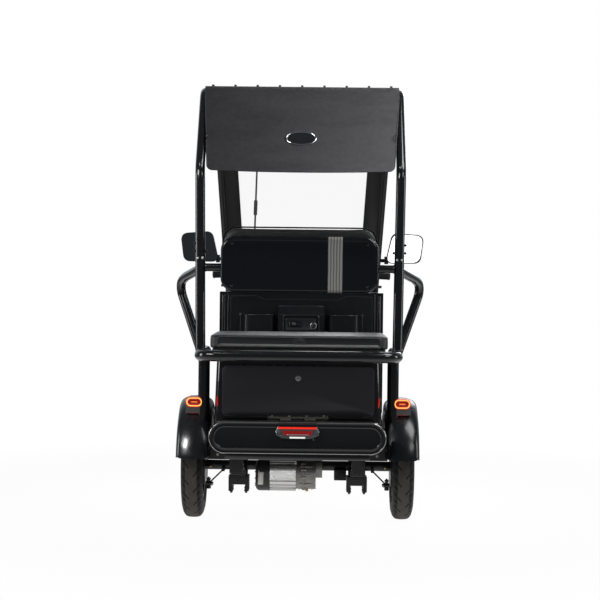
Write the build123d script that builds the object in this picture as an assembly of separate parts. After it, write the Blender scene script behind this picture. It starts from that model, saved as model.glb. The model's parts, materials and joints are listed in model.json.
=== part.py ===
"""Three-wheeled electric leisure tricycle with a canopy, one bench seat and a rear axle drive.

Millimetres. +Y is the way it drives, +X its right-hand side, +Z up. The origin is on the ground,
in the middle of the overall length and width. Heights are above the ground.
"""

import os
from math import atan2, cos, radians, sin, tan

from build123d import *

os.makedirs("parts", exist_ok=True)

# ---------------------------------------------------------------- driving dimensions
FIT = 0.3  # gap between pieces that seat on each other

# overall layout
WHEELBASE = 1290.0
BUMPER_BACK = 340.0  # rear face of the bumper behind the rear axle
LAMP_PROUD = 14.0  # centre lamp's stand-out behind the bumper
LAMP_HALF_W = 81.0
LAMP_BOTTOM = 343.0
LAMP_TOP = 389.0
SEAT_H = 719.0
FLOOR_H = 330.0

# wheels, 3.00-10 tyres
TYRE_R = 205.0
TYRE_W = 84.0
BEAD_R = 127.0
RIM_W = 62.0
RIM_LIP = 5.0
DISC_T = 10.0
HUB_R = 34.0
WINDOW_COUNT = 6
WINDOW_R = 17.0
WINDOW_RING_R = 70.0
TRACK = 810.0
STUB_R = 10.0

# steering
RAKE = 27.0  # degrees from the vertical
FORK_OFFSET = 40.0
STEER_TUBE_R = 13.0
HEAD_TUBE_R = 21.0
FORK_LEG_R = 15.0
FORK_HALF_W = 80.0
CROWN_H = 440.0
CROWN_T = 22.0
HEAD_LOW = 470.0
HEAD_HIGH = 700.0
STRUT_R = 18.0
STRUT_TOP_H = 560.0
GUARD_R = 232.0  # front mudguard, outside
GUARD_T = 3.0
GUARD_HALF_W = 54.0
GUARD_FRONT = 25.0  # degrees above the horizontal where its front edge ends
GUARD_BACK = 165.0

# handlebar
BAR_R = 11.0
BAR_H = 948.0
BAR_MID_H = 930.0
STEM_DROP = 15.0  # stem's top below the middle of the bar
BAR_SETBACK = 25.0  # middle of the bar behind the steering axis
BAR_MID_HALF = 110.0
BAR_BEND_R = 45.0
STEM_CLAMP_R = 22.0
STEM_CLAMP_T = 34.0
STEM_CLAMP_HALF = 24.0
GRIP_R = 16.0
GRIP_CAP_T = 4.0
GRIP_IN_X = 235.0
GRIP_SWEEP = 52.0  # how far the bar runs back along the grip
GRIP_DROP = 6.0
GRIP_LEN = 112.0
GRIP_END_X = 378.0
GRIP_BACK = 620.0  # grip ends ahead of the rear axle
LEVER_BALL_X = 339.0
LEVER_BALL_H = 902.0
LEVER_BALL_FRONT = 62.0  # ahead of the grip's end
LEVER_BALL_R = 8.0
LEVER_W = 12.0
LEVER_T = 7.0
POD_W = 140.0
POD_D = 50.0
POD_T = 28.0
POD_BACK = 36.0  # its middle behind the bar, and above it
POD_RISE = 18.0

# canopy
POST_X = 383.0  # where the posts meet the slope of the canopy
POST_FOOT_X = 375.5  # where they stand on the grab bar
POST_R = 19.0
POST_BACK = 165.0
ROOF_TUBE_H = 1671.0
ROOF_T = 4.0
ROOF_FRONT = 600.0
ROOF_HALF_W = 382.0
ROOF_LIP_H = 1346.0
ROOF_LIP_SAG = 6.0  # how far the lip's middle hangs below its corners
ROOF_LIP_BACK = 200.0
ROOF_LIP_HALF_W = 357.0
ROOF_LIP_CORNER = 24.0
ROOF_CREASE = 62.0  # where the top turns down, ahead of the rear axle
RIB_COUNT = 9
RIB_PITCH = 88.0
RIB_W = 9.0
RIB_H = 6.0
CROSS_TUBE_R = 14.0

# rails, bars and posts behind the seat
GRAB_R = 21.5
GRAB_H = 645.0
GRAB_BACK = 274.0
GRAB_X = 373.5
GRAB_FRONT = 120.0
LOWER_POST_X = 360.5
LOWER_POST_R = 22.0
LOWER_POST_FOOT = 372.0
ARM_R = 18.0
ARM_TOP_H = 972.0
ARM_TURN_X = 450.0
ARM_TURN_DROP = 32.0  # its turn below where it leaves the post
ARM_TURN_FRONT = 40.0
ARM_ELBOW_X = 484.0
ARM_ELBOW_DROP = 30.0  # its elbow below its turn
ARM_ELBOW_FRONT = 120.0
ARM_FOOT_OUT = 14.0  # its lower end outboard of the grab bar's middle
ARM_FOOT_FRONT = 40.0
CROSSBAR_R = 15.5
CROSSBAR_H = 977.0

# backrest
BACK_HALF_W = 301.0
BACK_BOTTOM = 884.0
BACK_TOP = 1134.0
BACK_SHELL_TOP = 1098.0
BACK_REAR = 192.0
BACK_SPLIT = 158.0
BACK_FRONT = 90.0
BACK_CORNER_R = 55.0
BACK_EDGE_R = 12.0

# seat
SEAT_HALF_W = 346.0
SEAT_BOTTOM = 666.0
SEAT_BACK = 140.0
SEAT_FRONT = 300.0
SEAT_SLANT = 15.0
SEAT_EDGE_R = 14.0
PAN_INSET = 14.0

# floor
FLOOR_HALF_W = 330.0
MAT_HALF_W = 300.0
MAT_T = 3.0
MAT_EDGE = 20.0
PEDAL_X = 130.0
PEDAL_FOOT = 800.0
PEDAL_KNEE_H = 390.0
PEDAL_PLATE_H = 430.0
PEDAL_PLATE_AHEAD = 745.0
PEDAL_ROD_R = 6.0
PEDAL_BEND_R = 20.0

# body tub under the seat
TUB_TOP = 655.0
TUB_HALF_TOP = 308.0
TUB_HALF_BOTTOM = 320.0
TUB_BACK = 250.0
TUB_FRONT = 300.0
TUB_WALL = 4.0
TUB_CORNER_R = 35.0
DOOR_HALF_W = 286.0
DOOR_BOTTOM = 418.0
DOOR_TOP = 611.0
DOOR_T = 10.0
HINGE_H = 408.0
HINGE_BACK = 268.0
HINGE_HALF_W = 115.0
LOCK_H = 563.0
LOCK_R = 11.0

# bumper
BUMPER_HALF_W = 332.0
BUMPER_TOP = 407.0
BUMPER_BOTTOM = 284.0
BUMPER_SKIRT = 263.0
BUMPER_D = 46.0
BUMPER_PANEL_HALF_W = 308.0
BUMPER_PANEL_TOP = 392.0
BUMPER_PANEL_BOTTOM = 296.0
BUMPER_RECESS = 5.0
BUMPER_EDGE_R = 7.0

# rear mudguards
FENDER_R = 271.0
FENDER_T = 4.0
FENDER_IN_X = 334.0
FENDER_OUT_X = 460.0
FENDER_LIP = 24.0
FENDER_REAR = 11.0  # degrees above the horizontal
FENDER_FRONT = 20.0

# chassis
RAIL_X = 230.0
RAIL_W = 40.0
RAIL_TOP = 322.0
RAIL_DEEP = 40.0
RAIL_FRONT = 845.0
BRACKET_X = 321.0
BRACKET_W = 22.0
BRACKET_T = 22.0
LOW_BEAM_BOTTOM = 245.0
AXLE_R = 19.0
AXLE_END_X = 360.0
SPRING_HALF_LEN = 245.0
SPRING_W = 50.0
SPRING_T = 20.0
SPRING_RISE = 70.0
CLAMP_W = 80.0
CLAMP_TIP = 106.0
CLAMP_LEG = 15.0

# drive unit
MOTOR_R = 60.0
MOTOR_H = 177.0
MOTOR_BACK = 90.0
GEAR_R = 46.0
BELL_R = 36.0
MOTOR_LEFT = -162.0
MOTOR_CAP_RIGHT = -108.0
MOTOR_RIGHT = -5.0
GEAR_RIGHT = 70.0
BELL_RIGHT = 95.0

# front shield
DASH_BACK = 830.0  # rear face of the leg shield ahead of the rear axle
DASH_TOP = 873.0
DASH_HALF_W = 361.0
SHIELD_T = 4.0
SHIELD_TOP_D = 200.0
SHIELD_BOTTOM = 345.0
NECK_WAY_HALF = 60.0  # opening of the shield round the fork's neck
NECK_WAY_FRONT = 318.0
NECK_WAY_TOP = 520.0
SHIELD_RAIL_X = 321.0  # inner edge of the rails down both sides of the dash
DASH_T = 6.0
CONSOLE_HALF_W = 101.0
CONSOLE_TOP = 814.0
CONSOLE_D = 55.0
CONSOLE_BOTTOM = 560.0
CONSOLE_HOOD = 38.0
CONSOLE_WALL = 4.0
CONSOLE_RIM = 24.0
CONSOLE_RECESS = 6.0
CONSOLE_FACE_LOW = 690.0
KEY_X = 54.0
KEY_H = 727.0
KEY_R = 15.0
KEY_T = 14.0
POCKET_IN_X = 117.0
POCKET_OUT_X = 253.0
POCKET_TOP = 775.0
POCKET_DEEP = 120.0
POCKET_PROUD = 48.0
POCKET_WALL = 3.0
POCKET_ROUND = 26.0

# windscreen
PILLAR_FOOT_X = 298.0
PILLAR_HEAD_X = 338.0
PILLAR_FOOT_FRONT = 1000.0
PILLAR_TUBE_R = 15.0
PILLAR_TUBE_OUT = 31.0  # tube's middle outboard of the pillar's line
PILLAR_FLAT_W = 66.0
PILLAR_FLAT_T = 10.0
GLASS_T = 4.0
WIPER_OFF = 12.0
WIPER_HEAD_X = -190.0
WIPER_HEAD_H = 1600.0
WIPER_TIP_X = -211.0
WIPER_TIP_H = 1140.0
WIPER_ARM_R = 4.0
WIPER_JOINT_R = 8.0
WIPER_JOINT_LOW = 0.14  # shares of the arm's length, up from the tip
WIPER_JOINT_HIGH = 0.27
WIPER_SPINDLE_R = 9.0

# lamps
HEADLIGHT_R = 58.0
HEADLIGHT_H = 690.0
HEADLIGHT_FRONT = 320.0  # its face ahead of the leg shield
HEADLIGHT_D = 60.0
TAIL_LAMP_X = 396.0
TAIL_LAMP_BACK = 160.0
TAIL_LAMP_H = 464.0
TAIL_LAMP_HALF_W = 33.0
TAIL_LAMP_TALL = 40.0
TAIL_LAMP_FOOT = 44.0

# mirrors
MIRROR_X = 456.0
MIRROR_H = 1073.0
MIRROR_FRONT = 905.0  # its glass ahead of the rear axle
MIRROR_D = 26.0
MIRROR_CORNER_R = 30.0
MIRROR_SHAPE = [(-55.0, 69.0), (87.0, 58.0), (71.0, -67.0), (-86.0, -69.0)]
MIRROR_ARM_R = 8.0

# ---------------------------------------------------------------- places worked out from them
FRONT_REACH = GUARD_R * cos(radians(GUARD_FRONT))
REAR_Y = (BUMPER_BACK + LAMP_PROUD - WHEELBASE - FRONT_REACH) / 2
FRONT_Y = REAR_Y + WHEELBASE
AXLE_H = TYRE_R
WHEEL_X = TRACK / 2
STEER_DIR = Vector(0, -sin(radians(RAKE)), cos(radians(RAKE)))
STEER_AHEAD = Vector(0, cos(radians(RAKE)), sin(radians(RAKE)))
STEER_FOOT = Vector(0, FRONT_Y, AXLE_H) - STEER_AHEAD * FORK_OFFSET
PILLAR_HEAD_H = ROOF_TUBE_H - CROSS_TUBE_R
STEM_TOP_H = BAR_MID_H - STEM_DROP


def steer_at(height):
    """The point of the steering axis at this height."""
    return STEER_FOOT + STEER_DIR * ((height - STEER_FOOT.Z) / STEER_DIR.Z)


def at(x, ahead, height):
    """A point given by its distance ahead of the rear axle."""
    return (x, REAR_Y + ahead, height)


def block(x0, x1, ahead0, ahead1, z0, z1):
    """A box between two corners."""
    size = (x1 - x0, ahead1 - ahead0, z1 - z0)
    middle = at((x0 + x1) / 2, (ahead0 + ahead1) / 2, (z0 + z1) / 2)
    return Pos(*middle) * Box(*size)


def tube(points, radius, bends=()):
    """A round bar along straight runs joined by arcs."""
    path = FilletPolyline(*points, radius=list(bends)) if len(points) > 2 else Line(*points)
    return sweep(Plane(origin=path @ 0, z_dir=path % 0) * Circle(radius), path=path)


def rod_x(radius, x0, x1, ahead, height):
    """A round bar along X."""
    return Pos(*at((x0 + x1) / 2, ahead, height)) * Rot(0, 90, 0) * Cylinder(radius, x1 - x0)


def steer_rod(radius, height0, height1):
    """A round bar along the steering axis."""
    return tube([steer_at(height0), steer_at(height1)], radius)


def turned(profile):
    """A (radius, offset) outline turned round Z."""
    return revolve(Plane.XZ * make_face(Polyline(*profile, close=True)), Axis.Z)


def on_axle(shape, x, ahead):
    """A shape made about Z, set on a wheel's axis."""
    return Pos(*at(x, ahead, AXLE_H)) * Rot(0, 90, 0) * shape


def both(make):
    """The left and right copies of a piece that is described on the right."""
    right = make()
    left = mirror(right, about=Plane.YZ)
    return left, right


def pair(make):
    """Both sides' pieces as one node of separate solids."""
    left, right = both(make)
    return Compound(children=[*left.solids(), *right.solids()])


PIECES = {}


def keep(name, shape):
    PIECES[name] = shape


# ---------------------------------------------------------------- wheels
TYRE_SECTION = [
    (BEAD_R, -RIM_W / 2 + 2),
    (BEAD_R + 6, -RIM_W / 2 + 2),
    (BEAD_R + 12, -RIM_W / 2 - 3),
    (BEAD_R + 32, -TYRE_W / 2),
    (BEAD_R + 50, -TYRE_W / 2 + 2),
    (TYRE_R - 9, -TYRE_W / 2 + 14),
    (TYRE_R - 2, -TYRE_W / 4),
    (TYRE_R, 0),
    (TYRE_R - 2, TYRE_W / 4),
    (TYRE_R - 9, TYRE_W / 2 - 14),
    (BEAD_R + 50, TYRE_W / 2 - 2),
    (BEAD_R + 32, TYRE_W / 2),
    (BEAD_R + 12, RIM_W / 2 + 3),
    (BEAD_R + 6, RIM_W / 2 - 2),
    (BEAD_R, RIM_W / 2 - 2),
]


def wheel(name, x, ahead, hub0, hub1):
    """A tyre and its rim; hub0 and hub1 are the hub's ends along X from the middle."""
    keep(f"{name}_tyre", on_axle(turned(TYRE_SECTION), x, ahead))
    seat = RIM_W / 2 - 2
    lip = BEAD_R + RIM_LIP
    well = BEAD_R - 22
    barrel = [
        (BEAD_R - FIT, -seat),
        (BEAD_R - FIT, seat),
        (lip, seat + FIT),
        (lip, seat + RIM_LIP),
        (BEAD_R - 6, seat + RIM_LIP),
        (well, 8),
        (well, -8),
        (BEAD_R - 6, -seat - RIM_LIP),
        (lip, -seat - RIM_LIP),
        (lip, -seat - FIT),
    ]
    disc = Cylinder(well + 2, DISC_T) - Cylinder(HUB_R - 2, DISC_T)
    for i in range(WINDOW_COUNT):
        disc = disc - Rot(0, 0, 360 * i / WINDOW_COUNT) * Pos(WINDOW_RING_R, 0) * Cylinder(WINDOW_R, DISC_T)
    hub = [(STUB_R + FIT, hub0), (HUB_R, hub0), (HUB_R, hub1), (STUB_R + FIT, hub1)]
    keep(f"{name}_rim", on_axle(turned(barrel) + disc + turned(hub), x, ahead))


wheel("rear_left", -WHEEL_X, 0, -28, 28)
wheel("rear_right", WHEEL_X, 0, -28, 28)
wheel("front", 0, WHEELBASE, -44, 44)

# ---------------------------------------------------------------- chassis
RAIL_BOTTOM = RAIL_TOP - RAIL_DEEP
RAIL_BACK = BUMPER_BACK - BUMPER_D - FIT
INNER_X = RAIL_X - RAIL_W / 2
OUTER_X = RAIL_X + RAIL_W / 2
CROSSINGS = (-RAIL_BACK + 15, SPRING_HALF_LEN + 60, RAIL_FRONT - 15)


def rail_side():
    """One rail with its spring hangers and the bracket that carries the lower post."""
    piece = block(INNER_X, OUTER_X, -RAIL_BACK, RAIL_FRONT, RAIL_BOTTOM, RAIL_TOP)
    half = SPRING_W / 2
    for end in (-1, 1):
        a0, a1 = sorted((end * (SPRING_HALF_LEN + FIT), end * (SPRING_HALF_LEN + 30)))
        piece = piece + block(RAIL_X - half, RAIL_X + half, a0, a1, AXLE_H, RAIL_BOTTOM)
    a0, a1 = -POST_BACK - 12, -POST_BACK + 12
    upright = block(BRACKET_X, BRACKET_X + BRACKET_W, a0, a1, LOW_BEAM_BOTTOM, LOWER_POST_FOOT)
    arm = block(
        BRACKET_X, LOWER_POST_X + LOWER_POST_R, a0, a1, LOWER_POST_FOOT - BRACKET_T, LOWER_POST_FOOT
    )
    low_beam = block(-1, BRACKET_X + 1, a0, a1, LOW_BEAM_BOTTOM, RAIL_BOTTOM + 1)
    return piece + upright + arm + low_beam


def crossing(ahead, half_w, deep):
    return block(-half_w, half_w, ahead - 15, ahead + 15, RAIL_TOP - deep, RAIL_TOP)


frame_left, frame_right = both(rail_side)
ladder = frame_left + frame_right
for ahead in CROSSINGS:
    ladder = ladder + crossing(ahead, INNER_X + 1, 30)
keep("chassis_frame", ladder)

# leaf springs under the axle, shackles to the rails
SPRING_TOP = AXLE_H - AXLE_R - FIT
SPRING_BEND_R = (SPRING_HALF_LEN**2 + SPRING_RISE**2) / (2 * SPRING_RISE)


def spring():
    centre_h = SPRING_TOP - SPRING_T + SPRING_BEND_R
    ring = Cylinder(SPRING_BEND_R, SPRING_W) - Cylinder(SPRING_BEND_R - SPRING_T, SPRING_W)
    ring = Pos(*at(RAIL_X, 0, centre_h)) * Rot(0, 90, 0) * ring
    return ring & block(
        RAIL_X - SPRING_W,
        RAIL_X + SPRING_W,
        -SPRING_HALF_LEN,
        SPRING_HALF_LEN,
        SPRING_TOP - SPRING_T - 1,
        SPRING_TOP + SPRING_RISE + 20,
    )


keep("leaf_springs", pair(spring))


def clamp():
    half = CLAMP_W / 2
    plate_top = SPRING_TOP - SPRING_T - FIT
    plate = block(RAIL_X - half, RAIL_X + half, -38, 38, plate_top - 30, plate_top)
    legs = [
        block(x, x + CLAMP_LEG, a - 6, a + 6, CLAMP_TIP, plate_top - 20)
        for x in (RAIL_X - half, RAIL_X + half - CLAMP_LEG)
        for a in (-27, 27)
    ]
    return plate + legs


keep("spring_clamps", pair(clamp))

# ---------------------------------------------------------------- rear axle and drive
axle = rod_x(AXLE_R, -AXLE_END_X, AXLE_END_X, 0, AXLE_H)
axle = axle + rod_x(STUB_R, -WHEEL_X - 36, WHEEL_X + 36, 0, AXLE_H)
axle = axle + block(141, RAIL_X - CLAMP_W / 2 - 2, -75, 0, AXLE_H - 48, AXLE_H - 10)
ADJUSTER_X = 345.0
ADJUSTER_DROP = 66.0  # below the axle
ADJUSTER_BACK = 67.0
ADJUSTER_R = 9.0
ADJUSTER_W = 24.0
ROD_HANGER_X = 290.0
ROD_R = 3.0


def adjuster(side):
    """A hanger behind the axle, and the brake rod that leaves it for an adjuster nut."""
    x0, x1 = sorted((side * (ROD_HANGER_X - 6), side * (ROD_HANGER_X + 6)))
    hanger = block(x0, x1, -ADJUSTER_BACK - 6, 0, AXLE_H - 18, AXLE_H - 6)
    low = at(side * ADJUSTER_X, -ADJUSTER_BACK, AXLE_H - ADJUSTER_DROP)
    rod = tube([at(side * ROD_HANGER_X, -ADJUSTER_BACK, AXLE_H - 12), low], ROD_R)
    x0, x1 = sorted((side * (ADJUSTER_X - ADJUSTER_W / 2), side * (ADJUSTER_X + ADJUSTER_W / 2)))
    nut = rod_x(ADJUSTER_R, x0, x1, -ADJUSTER_BACK, AXLE_H - ADJUSTER_DROP)
    return hanger + rod + nut + Pos(*low) * Cylinder(ADJUSTER_R - 3, 4 * ADJUSTER_R)


axle = axle + adjuster(-1) + adjuster(1)
keep("rear_axle", axle)

gearbox = rod_x(GEAR_R, MOTOR_RIGHT + 3, BELL_RIGHT - 5, 0, AXLE_H)
gearbox = gearbox + rod_x(MOTOR_R - 8, MOTOR_RIGHT, GEAR_RIGHT, -MOTOR_BACK, MOTOR_H)
gearbox = gearbox + block(
    MOTOR_RIGHT + 3, GEAR_RIGHT - 4, -MOTOR_BACK, 0, MOTOR_H - 38, AXLE_H + GEAR_R - 6
)
gearbox = gearbox + rod_x(BELL_R, GEAR_RIGHT - 2, BELL_RIGHT, -60, AXLE_H - 4)
gearbox = gearbox - rod_x(AXLE_R + FIT, -AXLE_END_X, AXLE_END_X, 0, AXLE_H)
keep("gearbox", gearbox)
keep("drive_motor", rod_x(MOTOR_R, MOTOR_CAP_RIGHT, MOTOR_RIGHT, -MOTOR_BACK, MOTOR_H))
keep("motor_cap", rod_x(MOTOR_R, MOTOR_LEFT, MOTOR_CAP_RIGHT, -MOTOR_BACK, MOTOR_H))

PLATE_R = 78.0
PLATE_T = 10.0
CAM_R = 9.0
CAM_PROUD = 16.0


def brake_plate():
    """A backing plate at the axle's end, with the boss of its cam."""
    plate = rod_x(PLATE_R, AXLE_END_X, AXLE_END_X + PLATE_T, 0, AXLE_H)
    boss = rod_x(CAM_R, AXLE_END_X - CAM_PROUD, AXLE_END_X + 1, -PLATE_R + 2 * CAM_R, AXLE_H)
    return plate + boss - rod_x(STUB_R + FIT, 0, 500, 0, AXLE_H)


keep("brake_plates", pair(brake_plate))

# ---------------------------------------------------------------- rear mudguards and lamps


def hood(radius, half, lip, outer_lip):
    """A mudguard's cross-section as (radius, offset along X), closed at the open side."""
    return [
        (radius - lip, -half),
        (radius - 8, -half + 6),
        (radius, -half + 26),
        (radius, half - 34),
        (radius - 10, half - 10),
        (radius - outer_lip, half),
    ]


def arch(profile, x, ahead, start, end):
    """A cross-section swept round a wheel; degrees run from straight ahead over the top."""
    face = make_face(Polyline(*profile, close=True))
    face = Rot(0, 0, start + 90) * (Plane.XZ * face)
    return on_axle(revolve(face, Axis.Z, revolution_arc=end - start), x, ahead)


def post_line(radius):
    """The post that stands through the mudguard, at a radius."""
    return tube(
        [at(LOWER_POST_X, -POST_BACK, LOWER_POST_FOOT), at(LOWER_POST_X, -POST_BACK, GRAB_H)], radius
    )


def fender():
    half = (FENDER_OUT_X - FENDER_IN_X) / 2
    middle = (FENDER_OUT_X + FENDER_IN_X) / 2
    outside = hood(FENDER_R, half, FENDER_LIP, FENDER_LIP + 15)
    inside = hood(FENDER_R - FENDER_T, half - FENDER_T, FENDER_LIP + 40, FENDER_LIP + 40)
    start, end = FENDER_FRONT, 180 - FENDER_REAR
    shell = arch(outside, middle, 0, start, end) - arch(inside, middle, 0, start - 5, end + 5)
    return (shell - post_line(LOWER_POST_R + FIT)).solids().sort_by(SortBy.VOLUME)[-1]


keep("rear_mudguards", pair(fender))


def stadium(x, half_w, z0, z1, back0, back1):
    """An upright plate with round ends, between two distances behind the rear axle."""
    face = Plane(origin=at(x, -back1, (z0 + z1) / 2), x_dir=(1, 0, 0), z_dir=(0, -1, 0))
    outline = face * RectangleRounded(2 * half_w, z1 - z0, (z1 - z0) / 2 - 0.5)
    return extrude(outline, back0 - back1)


def tail_lamp():
    """An oval lamp head on a foot that sits on the mudguard."""
    half, tall = TAIL_LAMP_HALF_W, TAIL_LAMP_TALL / 2
    back = TAIL_LAMP_BACK + 26
    head = stadium(TAIL_LAMP_X, half, TAIL_LAMP_H - tall, TAIL_LAMP_H + tall, back, 60)
    foot_half = half - 7
    foot = block(
        TAIL_LAMP_X - foot_half,
        TAIL_LAMP_X + foot_half,
        -back + 12,
        -60,
        TAIL_LAMP_H - TAIL_LAMP_FOOT,
        TAIL_LAMP_H,
    )
    body = head + foot - rod_x(FENDER_R + FIT, 200, 600, 0, AXLE_H) - post_line(LOWER_POST_R + FIT)
    return body.solids().sort_by(SortBy.VOLUME)[-1]


keep("tail_lamps", pair(tail_lamp))

# ---------------------------------------------------------------- body tub and tail door
def tub_block(grow, z0, z1, a0, a1):
    """The body's outer form, narrower at the top, grown by a distance."""
    def ring(height):
        share = (height - RAIL_TOP) / (TUB_TOP - RAIL_TOP)
        half = TUB_HALF_BOTTOM + (TUB_HALF_TOP - TUB_HALF_BOTTOM) * share + grow
        return Plane.XY.offset(height) * Pos(0, REAR_Y + (a0 + a1) / 2) * RectangleRounded(
            2 * half, a1 - a0, TUB_CORNER_R + grow
        )
    return loft([ring(z0), ring(z1)])


shell = tub_block(0, RAIL_TOP, TUB_TOP, -TUB_BACK, TUB_FRONT)
hollow = tub_block(
    -TUB_WALL, RAIL_TOP + TUB_WALL, TUB_TOP + 50, -TUB_BACK + TUB_WALL, TUB_FRONT - TUB_WALL
)
doorway = block(
    -DOOR_HALF_W + 20, DOOR_HALF_W - 20, -TUB_BACK - 50, -TUB_BACK + 20, DOOR_BOTTOM + 14, DOOR_TOP - 14
)
keep("body_tub", shell - hollow - doorway)

door_face = -TUB_BACK - DOOR_T - FIT
door = block(-DOOR_HALF_W, DOOR_HALF_W, door_face, -TUB_BACK - FIT, DOOR_BOTTOM, DOOR_TOP)
strip = block(-HINGE_HALF_W, HINGE_HALF_W, -HINGE_BACK - 3, door_face, HINGE_H, DOOR_BOTTOM + 8)
door = door + (strip + rod_x(4, -HINGE_HALF_W, HINGE_HALF_W, -HINGE_BACK, HINGE_H))
keep("tail_door", door)
keep(
    "door_lock",
    Pos(*at(0, door_face - 2.5, LOCK_H)) * Rot(90, 0, 0) * Cylinder(LOCK_R, 5),
)
keep("battery_pack", block(-210, 210, -90, 130, RAIL_TOP + TUB_WALL, RAIL_TOP + TUB_WALL + 190))

# ---------------------------------------------------------------- bumper
rim = stadium(0, BUMPER_HALF_W, BUMPER_BOTTOM, BUMPER_TOP, BUMPER_BACK, BUMPER_BACK - BUMPER_D)
rim = fillet(rim.faces().sort_by(Axis.Y)[0].edges(), BUMPER_EDGE_R)
recess = stadium(
    0,
    BUMPER_PANEL_HALF_W,
    BUMPER_PANEL_BOTTOM,
    BUMPER_PANEL_TOP,
    BUMPER_BACK,
    BUMPER_BACK - BUMPER_RECESS,
)
skirt = block(
    -BUMPER_HALF_W + 60,
    BUMPER_HALF_W - 60,
    -BUMPER_BACK + 10,
    -BUMPER_BACK + BUMPER_D,
    BUMPER_SKIRT,
    BUMPER_BOTTOM + 10,
)
keep("bumper", rim - recess + skirt)
keep(
    "centre_lamp",
    block(
        -LAMP_HALF_W,
        LAMP_HALF_W,
        -BUMPER_BACK - LAMP_PROUD,
        -BUMPER_BACK + BUMPER_RECESS - FIT,
        LAMP_BOTTOM,
        LAMP_TOP,
    ),
)

# ---------------------------------------------------------------- grab bar, posts and canopy frame
GRAB_POINTS = [
    at(-GRAB_X, GRAB_FRONT, GRAB_H),
    at(-GRAB_X, -GRAB_BACK, GRAB_H),
    at(GRAB_X, -GRAB_BACK, GRAB_H),
    at(GRAB_X, GRAB_FRONT, GRAB_H),
]
GRAB_BEND = 72.0


def grab(radius):
    return tube(GRAB_POINTS, radius, [GRAB_BEND, GRAB_BEND])


keep("grab_bar", grab(GRAB_R))

SLOPE = atan2(ROOF_TUBE_H + POST_R + FIT + ROOF_T - ROOF_LIP_H, ROOF_CREASE + ROOF_LIP_BACK)
TUBE_DROP = POST_R + ROOF_T + 1.0


def slope_height(ahead, drop):
    """Height of the canopy's rear slope, or of a line under it by a distance."""
    return ROOF_LIP_H + (ahead + ROOF_LIP_BACK) * tan(SLOPE) - drop / cos(SLOPE)


def slope_ahead(height, drop):
    return -ROOF_LIP_BACK + (height - ROOF_LIP_H + drop / cos(SLOPE)) / tan(SLOPE)


POST_BEND_H = slope_height(-POST_BACK, TUBE_DROP)


def post_x(height):
    """How far out a post stands at a height below its bend, as it leans out a little."""
    share = (height - GRAB_H) / (POST_BEND_H - GRAB_H)
    return POST_FOOT_X + share * (POST_X - POST_FOOT_X)


def canopy_tube(radius):
    return tube(
        [
            at(POST_FOOT_X, -POST_BACK, GRAB_H),
            at(POST_X, -POST_BACK, POST_BEND_H),
            at(POST_X, slope_ahead(ROOF_TUBE_H, TUBE_DROP), ROOF_TUBE_H),
            at(POST_X, ROOF_FRONT, ROOF_TUBE_H),
        ],
        radius,
        [120.0, 80.0],
    )


def canopy_side():
    return (canopy_tube(POST_R) - grab(GRAB_R + FIT)).solids().sort_by(Axis.Z)[-1]


keep("canopy_tubes", pair(canopy_side))


def lower_post():
    return (post_line(LOWER_POST_R) - grab(GRAB_R + FIT)).solids().sort_by(Axis.Z)[0]


keep("lower_posts", pair(lower_post))


def canopy_crossing(ahead, height, radius=CROSS_TUBE_R):
    return rod_x(radius, -POST_X + POST_R + FIT, POST_X - POST_R - FIT, ahead, height)


FRONT_CROSS = ROOF_FRONT - 14
MID_CROSS = (slope_ahead(ROOF_TUBE_H, TUBE_DROP) + FRONT_CROSS) / 2
REAR_CROSS_H = 1480.0
keep(
    "canopy_crossings",
    Compound(
        children=[
            canopy_crossing(FRONT_CROSS, ROOF_TUBE_H),
            canopy_crossing(MID_CROSS, ROOF_TUBE_H),
            canopy_crossing(slope_ahead(REAR_CROSS_H, TUBE_DROP), REAR_CROSS_H),
        ]
    ),
)


ARM_BENDS = [90.0, 50.0]


def armrest():
    turn_h = ARM_TOP_H - ARM_TURN_DROP
    arm = tube(
        [
            at(post_x(ARM_TOP_H), -POST_BACK, ARM_TOP_H),
            at(ARM_TURN_X, ARM_TURN_FRONT, turn_h),
            at(ARM_ELBOW_X, ARM_ELBOW_FRONT, turn_h - ARM_ELBOW_DROP),
            at(GRAB_X + ARM_FOOT_OUT, ARM_FOOT_FRONT, GRAB_H),
        ],
        ARM_R,
        ARM_BENDS,
    )
    cut = arm - canopy_tube(POST_R + FIT) - grab(GRAB_R + FIT)
    return cut.solids().sort_by(Axis.X)[-1]


keep("armrests", pair(armrest))

crossbar_half = post_x(CROSSBAR_H) - POST_R - FIT
keep("crossbar", rod_x(CROSSBAR_R, -crossbar_half, crossbar_half, -POST_BACK, CROSSBAR_H))

# ---------------------------------------------------------------- canopy panel
CANOPY_TOP = ROOF_TUBE_H + POST_R + FIT + ROOF_T
CANOPY_FRONT = ROOF_FRONT + 30


def canopy_form(points, bends):
    """An outline of (ahead, height) points, with some corners rounded, run across the canopy."""
    corners = [at(0, a, z) for a, z in points]
    face = make_face(Polyline(*corners, close=True))
    for corner, radius in bends:
        spot = face.vertices().sort_by_distance(corners[corner])[0]
        face = fillet(spot, radius)
    return extrude(face, amount=ROOF_HALF_W, both=True, dir=(1, 0, 0))


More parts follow.
